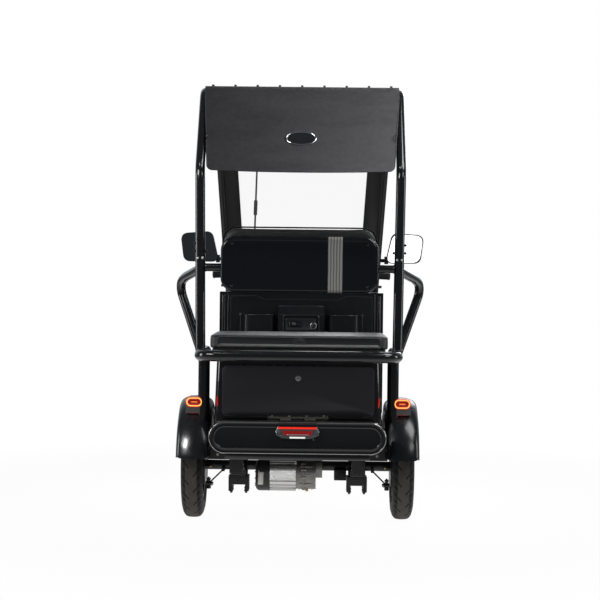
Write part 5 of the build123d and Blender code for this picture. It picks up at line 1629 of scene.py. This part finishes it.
# %% U-bolts, clamp plates, adjusters
BOLT_HALF = 27
ADJUSTER_X, ADJUSTER_H = 345, 139
WING_NUT = [(0, 0), (7, 0), (9, 2), (9, 8), (7, 11), (0, 11)]
fittings = bmesh.new()
axle_height = AXLE_Z / MM
for side in (False, True):
    for x in (201, 259):
        arc = [
            spot(x, BOLT_HALF * math.cos(turn), axle_height + 6 + 22 * math.sin(turn))
            for turn in (math.radians(t) for t in range(0, 181, 15))
        ]
        legs = [spot(x, BOLT_HALF, 150)] + arc + [spot(x, -BOLT_HALF, 150)]
        for start, end in zip(legs, legs[1:]):
            put(fittings, bar(start, end, 4.6, 10), flip=side)
        for ahead in (-BOLT_HALF, BOLT_HALF):
            put(fittings, hex_nut(8.5, 8, 4.6), spot(x, ahead, 112), [("X", 180)], flip=side, material=1)
            put(fittings, hex_nut(8.5, 7, 0), spot(x, ahead, 122), [("X", 180)], flip=side, material=1)
    plate_edge = facet_block([(-34, 12), (34, 12), (30, -14), (-30, -14)], 3, 0.8)
    put(fittings, plate_edge, spot(SPRING_X, -37.5, 146), flip=side)
    put(fittings, cap_head(4, 2.4), spot(SPRING_X, -40.4, 146), [("X", 90)], flip=side)
    put(fittings, hex_nut(9, 8, 3.4), spot(ADJUSTER_X, -67, ADJUSTER_H + 14), flip=side, material=1)
    put(fittings, turned(WING_NUT, 16), spot(ADJUSTER_X, -67, ADJUSTER_H - 20), flip=side, material=1)
    put(
        fittings, hex_nut(8, 6), spot(ADJUSTER_X - 12, -67, ADJUSTER_H), [("Y", -90)], flip=side,
        material=3,
    )
    put(
        fittings, turned([(0, 0), (4.5, 0), (4.5, 6), (6, 6), (6, 10), (3, 12), (0, 12)], 14),
        spot(341, -19, 200), [("X", 70)], flip=side, material=2,
    )
    put(
        fittings, turned([(0, 0), (5, 0), (5, 5), (0, 5)], 14), spot(296, -330, 281), [("X", 90)],
        flip=side, material=3,
    )
finished(
    "axle_fittings", fittings, [frame_paint, matt_black, brass, zinc], "chassis",
    sharp=30,
)
print("drive: motor, gearbox, springs and fittings")

# %% [markdown]
# ## Canopy
# The canopy's skin ends in a narrow turned lip that runs up both sides and round the two lower
# corners. On its rear slope sits a blank oval badge: a thin bright ring round a plain dark field.

# %% The turned lip and the badge
SLOPE = 53.05
LIP_H, LIP_BACK, LIP_HALF, LIP_CORNER, LIP_SAG = 1346, 200, 357, 24, 6
SKIN_TOP, SKIN_HALF = 1651, 382


def on_slope(x, height, proud=0.0):
    """A point on the canopy's rear slope, or out from it by a distance."""
    slope = math.radians(SLOPE)
    ahead = -LIP_BACK + (height - LIP_H) / math.tan(slope)
    return spot(x, ahead - proud * math.sin(slope), height + proud * math.cos(slope))


lean = (SKIN_HALF - LIP_HALF) / (SKIN_TOP - LIP_H)
edge_line = []
for i in range(13):
    height = SKIN_TOP - (SKIN_TOP - LIP_H - LIP_CORNER) * i / 12
    edge_line.append((SKIN_HALF - lean * (SKIN_TOP - height) - 1.6, height))
centre_x = LIP_HALF - LIP_CORNER + lean * LIP_CORNER
for i in range(1, 9):
    turn = math.radians(90 * i / 8)
    edge_line.append((
        centre_x + (LIP_CORNER - 1.6) * math.cos(turn),
        LIP_H + LIP_CORNER - (LIP_CORNER - 1.6) * math.sin(turn) - 0.6,
    ))
for i in range(1, 25):
    x = centre_x * (1 - i / 24)
    edge_line.append((x, LIP_H + 1 - LIP_SAG * (1 - (x / centre_x) ** 2)))
right_line = [on_slope(x, height, -0.6) for x, height in edge_line]
left_line = [Vector((-p.x, p.y, p.z)) for p in reversed(right_line[:-1])]
finished(
    "canopy_lip", cord(right_line + left_line, 2.2, 8), canopy_matt, "chassis",
    sharp=60,
)

badge_field = finish(
    "dark badge field", (0.02, 0.021, 0.023), (0.012, 0.0125, 0.014), (0.12, 0.22), 30.0, 0.2,
    bump=(300, 0.03, 0.5), coat=0.6,
)
badge = bmesh.new()
# (half width, half height, distance out of the slope, material)
rings = [
    (60, 36, 0, 0), (60, 36, 2.6, 0), (58.6, 34.6, 4.2, 0), (56.4, 32.4, 4.6, 0), (54.6, 30.6, 3.6, 0),
    (53.6, 29.6, 2.0, 1), (20, 10, 3.0, 1),
]
kept(
    badge, ovals([ring[:3] for ring in rings], 56, [ring[3] for ring in rings[:-1]] + [1]),
    on_slope(0, 1476, 0.4), [("X", SLOPE - 90)],
)
finished(
    "badge_ring", badge, [chrome, badge_field], "chassis", "canopy_badge", sharp=40,
    clean=False,
)

# %% [markdown]
# ## Backrest
# A gloss moulded shell closes the back of the cushion. Its edge is rolled, four screws hold it, and a
# set of five light bands runs down its right half: a stripe drawn by a mask over the shell's own places.

# %% Stripes over a gloss shell
def stripes(tree, place, first, pitch, count, soft):
    """Light bands side by side across X; each has a darker wavy line at its edge."""
    across = add(tree, "SeparateXYZ", {0: place}).outputs["X"]
    wave = add(tree, "TexNoise", {"Vector": place, "Scale": 9.0, "Detail": 1.0}).outputs["Fac"]
    swayed = maths(tree, "ADD", across, ranged(tree, wave, new=(-0.0035, 0.0035)))
    counted = maths(tree, "DIVIDE", maths(tree, "SUBTRACT", swayed, first * MM), pitch * MM)
    from_centre = maths(tree, "ABSOLUTE", maths(tree, "SUBTRACT", maths(tree, "FRACT", counted), 0.5))
    band = ranged(tree, from_centre, (0.5, 0.5 - soft))
    half = pitch * count / 2
    aside = maths(tree, "ABSOLUTE", maths(tree, "SUBTRACT", across, (first + half) * MM))
    return band, maths(tree, "LESS_THAN", aside, half * MM)


shell_gloss = finish(
    "backrest shell", (0.0068, 0.0075, 0.0095), (0.0056, 0.0062, 0.008), (0.1, 0.17), 4.0, 0.2,
    bump=(140, 0.02, 0.9),
)
tree = shell_gloss.node_tree
shader = tree.nodes["Principled BSDF"]
band, inside = stripes(tree, add(tree, "TexCoord").outputs["Object"], 107, 11.2, 5, 0.3)
grey = mixed_colour(tree, band, (0.07, 0.07, 0.066, 1), (0.33, 0.325, 0.305, 1))
under = shader.inputs["Base Color"].links[0].from_socket
tree.links.new(mixed_colour(tree, inside, under, grey), shader.inputs["Base Color"])

shell_low, shell_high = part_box("backrest_shell")
SHELL_HALF = shell_high.x / MM
SHELL_TALL = (shell_high.z - shell_low.z) / MM / 2
SHELL_DEEP = (shell_high.y - shell_low.y) / MM
# (inset from the outline, distance toward the rear)
ROUNDING = [
    (1.4, 0), (0, 1.4), (0, SHELL_DEEP - 13), (0.7, SHELL_DEEP - 9.2), (2.4, SHELL_DEEP - 5.6),
    (5.0, SHELL_DEEP - 2.8), (8.0, SHELL_DEEP - 1.0), (11.5, SHELL_DEEP), (15.0, SHELL_DEEP - 0.4),
    (17.0, SHELL_DEEP - 1.4), (19.0, SHELL_DEEP - 1.8),
]
levels = [(SHELL_HALF - inset, SHELL_TALL - inset, 55 - inset, out) for inset, out in ROUNDING]
shell_place = Vector((0, shell_high.y, (shell_low.z + shell_high.z) / 2))
shell_form = put(bmesh.new(), stacked(levels, 12, back=True), shell_place)
finished(
    "back_shell", shell_form, shell_gloss, "chassis", "backrest_shell", sharp=60,
    clean=False,
)

fittings = bmesh.new()
for side in (False, True):
    for height in (1066, 906):
        face = spot(258, -190.2, height)
        put(
            fittings, turned([(7.5, 0), (7, 0.7), (5.4, -0.6), (5.2, -2), (0, -2)], 20), face, [("X", 90)],
            flip=side,
        )
        put(fittings, cap_head(4.4, 1.8), face, [("X", 90)], flip=side, material=1)
finished("back_shell_screws", fittings, [dark_case, frame_paint], "chassis", sharp=30)

# %% [markdown]
# ## The bench's rear face
# A soft panel is pressed into the slanted rear of the bench, with a raised rim and a blank double oval
# in its middle.

# %% Bench panel and oval stud
SLANT = math.degrees(math.atan2(SEAT_SLANT, SEAT_THICK))
PANEL_H = 693
SEAT_FOOT_H, SEAT_FOOT_BACK = 666, 141.6
bench_rear = spot(0, SEAT_SLANT * (PANEL_H - SEAT_FOOT_H) / SEAT_THICK - SEAT_FOOT_BACK, PANEL_H)
panel = bmesh.new()
rim_levels = [
    (312, 20.5, 12, -3), (312, 20.5, 12, 0.4), (310.8, 19.3, 11, 1.1), (309, 17.5, 10, 1.1),
    (307.6, 16, 9, 0.2), (306, 14.6, 8, -0.4),
]
put(panel, stacked(rim_levels, 8), bench_rear, [("X", SLANT)])
# The panel's vinyl is a lighter copy of the seat vinyl: painted light for the light that falls on the
# bench's rear face.
bench_vinyl_painted_light = finish(
    "bench trim painted lighter", (0.03, 0.0305, 0.033), (0.022, 0.0225, 0.0245), (0.4, 0.55), 8.0, 0.2, hide=(300, 0.1),
)
finished("bench_panel", panel, bench_vinyl_painted_light, "seat_lid", sharp=50, clean=False)
stud = bmesh.new()
for half_w, half_h, wide in ((23.5, 14.5, 1.3), (16.0, 8.6, 1.1)):
    put(stud, cord(oval_points(half_w, half_h, 0, 40), wide, 8, closed=True), bench_rear, [("X", SLANT)])
put(
    stud, ovals([(24, 15, -1), (24, 15, 0.6), (22, 13, 0.2), (8, 4, 0.4)], 40), bench_rear, [("X", SLANT)],
    material=1,
)
stud_grey = finish(
    "grey stud", (0.075, 0.076, 0.078), (0.05, 0.051, 0.053), (0.2, 0.32), 40.0, 0.2, bump=(900, 0.03, 0.3),
)
finished(
    "bench_stud", stud, [stud_grey, bench_vinyl_painted_light], "seat_lid", sharp=50, clean=False,
)
print("upper: canopy lip, badge, shell and bench panel")

# %% [markdown]
# ## Dash
# The leg shield's back carries gloss rails down both sides. Between them lie a satin panel with a
# recess under its top edge, two bins with turned lips, and the hooded console with key and display.

# %% Rails, recess and bins
DASH_BACK, DASH_FACE = 830, 832
# Lips, rails and trims are a lighter black than the dash: painted highlight for the light their rounded
# edges catch.
lip_painted_sheen = finish(
    "soft lip", (0.04, 0.042, 0.046), (0.028, 0.029, 0.032), (0.18, 0.26), 9.0, 0.2, bump=(200, 0.02, 0.6),
    coat=0.4,
)


def run_of(points, radius, sides=8, corner=0.0):
    """A cord through (x, ahead, height) places; each inner corner is rounded by a distance."""
    places = [spot(*p) for p in points]
    line = [places[0]]
    for before, here, after in zip(places, places[1:], places[2:]):
        for i in range(7):
            t = i / 6
            a = here + (before - here).normalized() * corner * MM * (1 - t)
            b = here + (after - here).normalized() * corner * MM * t
            line.append(a + (b - here))
    line.append(places[-1])
    return cord(line, radius, sides)


# (x, out of the dash's back, lower end, upper end, radius)
RAILS = [(323.5, 0.6, 352, 866, 2.3), (338, 0.4, 360, 862, 1.4), (355, 3.4, 356, 866, 3.0)]
trim = bmesh.new()
for side in (False, True):
    for x, out, low, high, radius in RAILS:
        put(trim, run_of([(x, DASH_BACK + out, low), (x, DASH_BACK + out, high)], radius), flip=side)
    put(trim, raised((3.2, 250, 3, 1.2), (2.4, 249, 2.4, 2.0)), spot(347, DASH_BACK + 1.4, 610), flip=side)
finished("dash_rails", trim, lip_painted_sheen, "chassis", sharp=50)

upper = bmesh.new()
recess = [(-312, 855), (-192, 858), (-170, 840), (170, 840), (192, 858), (312, 855)]
put(upper, run_of([(x, DASH_FACE, height) for x, height in recess], 2.2, corner=9))
for side in (False, True):
    put(upper, run_of([(312, DASH_FACE, 852), (312, DASH_FACE, 420)], 1.2), flip=side)
    put(upper, run_of([(268, DASH_FACE, 776), (268, DASH_FACE, 640)], 1.6), flip=side)
    put(upper, raised((5, 7, 2, 3), (4, 6, 1.6, 3.8), 4), spot(268, DASH_FACE, 772), flip=side)
finished("dash_mouldings", upper, lip_painted_sheen, "chassis", sharp=50)

lips = bmesh.new()
for side in (False, True):
    rim = [(x, DASH_FACE - deep, 774) for x, deep in ((118, 2), (118, 48), (252, 48), (252, 2))]
    put(lips, run_of(rim, 2.4, corner=26), flip=side)
finished("bin_lips", lips, lip_painted_sheen, "chassis", sharp=50)

# %% [markdown]
# The console's hood has two soft lips. Its recessed face holds a small dark display beside a blank
# plate, and the key stands in a bright ring.

# %% Console, display and key
CONSOLE_FACE = DASH_FACE - 49.3
console_trim = bmesh.new()
hood = [(-98, 27, 806), (-98, 30, 812.4), (98, 30, 812.4), (98, 27, 806)]
put(console_trim, run_of([(x, DASH_FACE - deep, height) for x, deep, height in hood], 2.8, corner=5))
put(console_trim, run_of([(-99, DASH_FACE - 54.6, 775), (99, DASH_FACE - 54.6, 775)], 1.8))
frame_line = corner_loop(78, 41, 8, 6)
loop = [spot(x, CONSOLE_FACE - 5.4, 731 + z) for x, z in frame_line]
put(console_trim, cord(loop, 1.5, 8, closed=True))
frame_levels = [(66, 26, 5, 0), (66, 26, 5, 1.4), (65, 25, 4.4, 2), (62, 22, 3.6, 2), (61, 21, 3, 1.2)]
put(console_trim, stacked(frame_levels, 5), spot(-2, CONSOLE_FACE, 733))
finished("console_trim", console_trim, lip_painted_sheen, "chassis", sharp=50)

display_glass = finish(
    "display glass", (0.012, 0.016, 0.018), (0.008, 0.01, 0.012), (0.04, 0.1), 20.0, 0.2,
    bump=(80, 0.01, 0.8), coat=1.0,
)
blank_grey = finish(
    "blank grey plate", (0.1, 0.1, 0.1), (0.07, 0.07, 0.07), (0.3, 0.45), 40.0, 0.3, bump=(900, 0.03, 0.3),
)
small = bmesh.new()
put(small, raised((30, 14, 3, 1.2), (29, 13, 2.6, 1.6), 4), spot(-28, CONSOLE_FACE - 1.2, 735))
put(
    small, raised((8, 6, 1.5, 1.0), (7.4, 5.4, 1.2, 1.3), 4), spot(-32, CONSOLE_FACE - 2.4, 736),
    material=1,
)
put(
    small, raised((1.3, 11, 1, 1.2), (1, 10.6, 0.8, 1.6), 3), spot(-50, CONSOLE_FACE - 2.2, 735),
    material=1,
)
finished("console_display", small, [display_glass, blank_grey], "chassis", sharp=40)

key = bmesh.new()
key_low, key_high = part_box("key_switch")
key_spot = Vector(((key_low.x + key_high.x) / 2, key_high.y, (key_low.z + key_high.z) / 2))
barrel = [
    (15, 0), (15, 4), (14.4, 5.6), (12.6, 6.4), (10.8, 6.0), (10.2, 4.6), (10, 2.6), (6.4, 2.6), (6.2, 6.4),
    (0, 6.6),
]
put(key, turned(barrel, 36), key_spot, [("X", 90)])
blade = plate(3.4, 20, 7, 1.6)
put(key, blade, key_spot + Vector((0, -6 * MM, 0)), [("Y", 24)], material=1)
finished("key_and_ring", key, [satin_steel, dark_case], "chassis", "key_switch", sharp=35)
print("dash: rails, mouldings, bins, console and key")

# %% [markdown]
# ## Tube fittings
# Each canopy post is joined above the armrest: two round-headed screws show at the rear, and the ends
# of two cross screws stand out at its sides. Weld beads close the ends of the cross tubes.

# %% Post screws, cross screws and weld beads
POST_LEAN = 0.0106
POST_BACK = 165
POST_RADIUS = 19
CROSSBAR_H, CROSSBAR_RADIUS = 977, 15.5
JOINT_H = 1012


def post_middle(height):
    """How far out the middle of a canopy post stands."""
    return 375.5 + (height - 645) * POST_LEAN


polished = finish(
    "polished screw", (0.86, 0.86, 0.84), (0.7, 0.7, 0.68), (0.28, 0.4), 60.0, 0.0, bump=(900, 0.02, 0.4),
    metal=0.6,
)
joints = bmesh.new()
for side in (False, True):
    middle_x = post_middle(JOINT_H)
    for aside in (-8.6, 8.2):
        deep = math.sqrt(POST_RADIUS**2 - aside**2)
        head = turned([(4.6, -1), (4.6, 0.6), (4.0, 2.2), (2.4, 3.2), (0, 3.6)], 18)
        put(
            joints, head, spot(middle_x + aside, -POST_BACK - deep + 1.4, JOINT_H),
            [("X", 90), ("Z", aside * 1.6)], flip=side,
        )
    for low, high in ((998, 1001.5), (1024, 1027.5)):
        ring = turned([(18.6, low), (19.9, low + 0.5), (19.9, high - 0.5), (18.6, high)], 36)
        put(joints, ring, spot(middle_x, -POST_BACK, 0), flip=side, material=2)
    for height, ends in ((1038, (-27, 27)), (1068, (0, 27))):
        x = post_middle(height)
        left, right = [spot(x + end, -POST_BACK, height) for end in ends]
        put(joints, bar(left, right, 3.0, 14), flip=side, material=1)
        for end in ends:
            if end:
                away = 1 if end > 0 else -1
                foot = spot(x + end - away * 7, -POST_BACK, height)
                put(
                    joints, aimed(hex_nut(5.2, 4.6, 1.4), foot, foot + Vector((away, 0, 0))), flip=side,
                    material=1,
                )
    end_screw = turned([(5.6, -1), (5.6, 0.8), (4.8, 2.6), (2.8, 3.8), (0, 4.2)], 18)
    put(joints, end_screw, spot(338, -178, 276), [("X", 90)], flip=side)
finished("post_screws", joints, [polished, frame_paint, tube_gloss], "chassis", sharp=30)

beads = bmesh.new()
bar_half = post_middle(CROSSBAR_H) - POST_RADIUS - 0.3


def weld(middle, radius, axis):
    """A bead of small overlapping scales round the end of a tube."""
    scales, points_each = 26, 3
    across = axis.orthogonal().normalized()
    other = axis.cross(across).normalized()
    ring = []
    for i in range(scales * points_each):
        t = math.tau * i / (scales * points_each)
        swell = 0.35 * math.cos(t * scales)
        r = (radius + swell) * MM
        ring.append(middle + (across * math.cos(t) + other * math.sin(t)) * r + axis * swell * 0.6 * MM)
    return cord(ring, 1.92, 6, closed=True)


# (place, radius of the tube, the tube's direction)
WELDS = [
    (spot(bar_half - 0.6, -POST_BACK, CROSSBAR_H), CROSSBAR_RADIUS + 0.1, (1, 0, 0)),
    (spot(363.2, 586, 1671), 14.0, (1, 0, 0)),
    (spot(363.2, 64 - POST_BACK, 1480), 14.0, (1, 0, 0)),
    (spot(375.5, -POST_BACK, 667.5), POST_RADIUS + 0.4, (0, 0, 1)),
    (spot(360.5, -POST_BACK, 622.5), 22.2, (0, 0, 1)),
]
for side in (False, True):
    for place, radius, axis in WELDS:
        put(beads, weld(place, radius, Vector(axis)), flip=side)
finished("weld_beads", beads, tube_gloss, "chassis", sharp=60)

# %% [markdown]
# ## Hands and head of the steering
# The grips are ribbed rubber sleeves between two flanges, closed at their outer ends. A blank display
# lies in the instrument pod.

# %% Grips
GRIP_IN = spot(235, 672, 954)
GRIP_OUT = spot(378, 620, 948)
grip_run = (GRIP_OUT - GRIP_IN).normalized()
sleeve = [(11.4, 0), (15.6, 0), (16, 1), (16, 4), (15, 5.2), (14.2, 6.4)]
for i in range(17):
    start = 8 + i * 5.6
    sleeve += [(14.0, start), (14.8, start + 0.8), (14.8, start + 3.4), (14.0, start + 4.2)]
sleeve += [(14.4, 104.4), (15.8, 105.4), (15.8, 109.5), (15, 111), (12, 111.7), (0, 111.8)]
grips = bmesh.new()
for side in (False, True):
    start = GRIP_OUT - grip_run * 112 * MM
    put(grips, aimed(turned(sleeve, 28), start, GRIP_OUT), flip=side)
finished("ribbed_grips", grips, soft_rubber, "steering", "grips", sharp=35)

pod_low, pod_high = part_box("instrument_pod")
pod_middle = (pod_low + pod_high) / 2
POD_TILT = 25
pod_turn = [("X", POD_TILT - 90)]
out_of_pod = Vector((0, -math.sin(math.radians(POD_TILT)), math.cos(math.radians(POD_TILT)))) * MM
pod = bmesh.new()
glass = stacked([(58, 18, 5, -1), (58, 18, 5, 0.8), (56.5, 16.5, 4, 1.2), (54, 14, 3, 0.6)], 5)
put(pod, glass, pod_middle + out_of_pod * 14, pod_turn)
for x in (-16, 0, 16):
    place = pod_middle + out_of_pod * 14.2 + Vector((x * MM, 0, 0))
    put(pod, raised((4.5, 2.2, 2, 0.8), (3.8, 1.6, 1.5, 1.2), 4), place, pod_turn, material=1)
finished("pod_display", pod, [display_glass, blank_grey], "steering", sharp=40)
print("tubes, grips and pod")

# %% [markdown]
# ## Glass and lamps ahead
# The windscreen is clear and thin. The right mirror looks back at a white wall, and a lamp that lights
# only that glass stands where the wall would be. The left mirror looks into the dark of the room.

# %% Windscreen
clear_sheet = finish(
    "clear windscreen", (0.95, 0.97, 0.97), (0.92, 0.95, 0.95), (0.02, 0.06), 3.0, 0.4,
    bump=(60, 0.005, 0.9),
)
clear_sheet.node_tree.nodes["Principled BSDF"].inputs["Alpha"].default_value = 0.05
dressed("windscreen", clear_sheet, 0.6)

# %% Mirror glasses
MIRROR_SHAPE = [(-55, 69), (87, 58), (71, -67), (-86, -69)]


def shrunk(points, by):
    """A polygon moved in toward its middle on every side."""
    middle = sum((Vector(p) for p in points), Vector((0, 0))) / len(points)
    return [Vector(p) - (Vector(p) - middle).normalized() * by for p in points]


def mirror_part(levels, side):
    """A piece with a mirror's outline, from (distance in from its rim, distance towards -Y) levels."""
    part = slab([(rounded_points(shrunk(MIRROR_SHAPE, by), 34), out) for by, out in levels])
    return kept(bmesh.new(), part, spot(456, 905, 1073), flip=side)


silver = finish(
    "tinted mirror", (0.24, 0.25, 0.26), (0.22, 0.23, 0.24), (0.015, 0.035), 6.0, 0.15,
    bump=(30, 0.002, 0.9), metal=1.0,
)
glass_levels = [(5.5, -1.0), (5.5, 0.3), (6.0, 0.6)]
for side, name in ((False, "mirror_glass_right"), (True, "mirror_glass_left")):
    finished(name, mirror_part(glass_levels, side), silver, "chassis", sharp=12)
rims = bmesh.new()
for side in (False, True):
    kept(rims, mirror_part([(0.4, -2), (0.2, 0.2), (1.2, 1.4), (3.4, 1.8), (4.8, 1.2), (5.6, 0.4)], side))
for face in [f for f in rims.faces if len(f.verts) > 8]:
    rims.faces.remove(face)
finished("mirror_rims", rims, matt_black, "chassis", sharp=40, clean=False)
wall = soft_box("white wall", (1.0, -9.0, 1.2), (0.456, 0.33, 1.073), 2.6, 2.6, 7.0)
flagged(wall, [bpy.data.objects["mirror_glass_right"]])

# %% [markdown]
# The headlight is a bowl behind a clear fluted lens, in a bright ring. Two plain amber indicators stand
# beside it on the nose.

# %% Headlight and indicators
lens_clear = finish(
    "clear lamp lens", (0.9, 0.91, 0.92), (0.84, 0.85, 0.86), (0.03, 0.08), 8.0, 0.2, bump=(40, 0.3, 0.9),
    coat=0.6,
)
lens_clear.node_tree.nodes["Principled BSDF"].inputs["Alpha"].default_value = 0.35
lamp = bmesh.new()
outline = [
    (50, 0), (56, 2), (57.6, 10), (57.8, 48), (57.2, 54), (55.6, 57.6), (53.4, 58.8), (51.4, 58),
    (50.8, 55),
]
bowl = [(50.8, 55), (49, 50), (44, 36), (34, 22), (20, 12), (10, 9), (6, 9), (6, 22), (3.4, 26), (0, 27)]
pane = [(50.6, 55), (50.2, 56.4), (44, 57.8), (30, 59.0), (14, 59.5), (0, 59.7)]
put(lamp, turned(outline, 56))
put(lamp, turned(bowl, 48), material=1)
put(lamp, turned(pane, 48), material=2)
headlight = bmesh.new()
kept(headlight, lamp, spot(0, 1090, 690), [("X", -90)])
finished(
    "headlight_lamp", headlight, [dark_case, chrome, lens_clear], "chassis", "headlight",
    sharp=30, clean=False,
)
signals = bmesh.new()
for side in (False, True):
    base = ovals(
        [(34, 20, -8), (34, 20, 3), (32.6, 18.6, 4.6), (31, 17, 4.6), (30.4, 16.4, 3.6)], 40, front=False,
    )
    put(
        base,
        ovals([(30.6, 16.6, 2.6), (29.4, 15.4, 5.2), (24, 11.6, 7.8), (14, 6.4, 9.4), (5, 2, 9.9)], 40),
        material=1,
    )
    kept(signals, base, spot(190, 1104, 690), [("Z", 180), ("X", 22.7)], flip=side)
finished(
    "front_indicators", signals, [dark_case, amber_lens], "chassis", sharp=40,
    clean=False,
)

print("glass: windscreen, mirrors, headlight and indicators")

# %% [markdown]
# ## Floor and pedal
# The footwell carries a ribbed rubber mat with a raised edge, and the pedal has a ribbed rubber pad.

# %% Mat and pedal pad
mat_low, mat_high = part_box("floor_mat")
mat_middle = (mat_low + mat_high) / 2
mat_half_w = (mat_high.x - mat_low.x) / 2 / MM
mat_half_d = (mat_high.y - mat_low.y) / 2 / MM
flat_up = [("X", -90)]
mat = bmesh.new()
base = [
    (mat_half_w, mat_half_d, 20, 0), (mat_half_w, mat_half_d, 20, 2.4),
    (mat_half_w - 1, mat_half_d - 1, 19, 3), (mat_half_w - 6, mat_half_d - 6, 15, 3),
    (mat_half_w - 7.5, mat_half_d - 7.5, 14, 1.6),
]
put(mat, stacked(base, 6, back=True), (0, mat_middle.y, mat_low.z), flat_up)
rib = [(2.6, mat_half_d - 14, 2.4, 1.5), (2.6, mat_half_d - 14, 2.4, 2.4), (1.8, mat_half_d - 15, 1.7, 2.9)]
count = int((mat_half_w - 12) // 12)
for i in range(-count, count + 1):
    put(mat, stacked(rib, 3), (i * 12 * MM, mat_middle.y, mat_low.z), flat_up)
finished("ribbed_mat", mat, soft_rubber, "chassis", "floor_mat", sharp=40)

pad = bmesh.new()
PEDAL = spot(130, 735, 432)
PEDAL_SLOPE = 35
pad_turn = [("X", -90), ("X", -PEDAL_SLOPE)]
rise, run = math.sin(math.radians(PEDAL_SLOPE)), math.cos(math.radians(PEDAL_SLOPE))
out_of_pad = Vector((0, rise, run))
up_the_pad = Vector((0, run, -rise))
put(pad, raised((35, 40, 5, 3), (34, 39, 4.5, 4), 5), PEDAL + out_of_pad * 4 * MM, pad_turn)
for i in range(-3, 4):
    place = PEDAL + (out_of_pad * 7.6 + up_the_pad * 10 * i) * MM
    put(pad, raised((29, 2.4, 2.2, 1.6), (28, 1.6, 1.5, 2.2), 3), place, pad_turn)
finished("pedal_pad", pad, soft_rubber, "chassis", sharp=40)
print("floor: mat and pedal pad")

# %% [markdown]
# ## Flagged lamps
# Some lamps light only a few pieces: one lifts the matt canopy, brighter on the right, one the
# padding, one the mudguards and one, low behind, the drive. The two large boxes are kept off the
# canopy, and the two strips are for the round bars alone.

# %% Lamps for the matt skins, the padding, the mudguards and the drive
def pieces_named(*names):
    """The finished pieces of these names."""
    return [bpy.data.objects[name] for name in names]


# name: (place, target, width, height, glow), pieces
FLAGGED = {
    "canopy box": (
        ((1.1, -1.45, 2.15), (0.3, -0.65, 1.5), 0.8, 0.6, 34.0), ("dressed_canopy_panel", "canopy_lip"),
    ),
    "padding box": (
        ((0.6, -3.6, 2.9), (0, -0.7, 0.7), 1.8, 1.2, 14.0), ("bench_cushion", "bench_panel", "bench_stud"),
    ),
    "drive box": (
        ((-0.5, -3.2, 0.9), (-0.05, -0.6, 0.18), 1.4, 0.7, 3.1),
        ("motor_housing", "motor_end_cap", "motor_label", "gearbox_flange", "dressed_gearbox"),
    ),
    "guard box": (((-2.1, -3.1, 2.5), (-0.4, -0.2, 0.4), 0.7, 0.9, 40.0), ("rear_guards",)),
}
for name, (setting, names) in FLAGGED.items():
    flagged(soft_box(name, *setting), pieces_named(*names))
for name in ("left box", "right box"):
    flagged(lamp_named[name], pieces_named("dressed_canopy_panel", "canopy_lip"), shaded=True)
bars = ("dressed_grab_bar", "dressed_armrests", "dressed_canopy_tubes", "dressed_crossbar")
for name in ("left strip", "right strip"):
    flagged(lamp_named[name], pieces_named(*bars))
print("flagged lamps:", len(FLAGGED) + 4)

# %% [markdown]
# ## Closing
# The size of the construction, as it was loaded, is printed.

# %% Sizes and finish
print("CAD box", [round(v, 3) for c in cad_box for v in c])
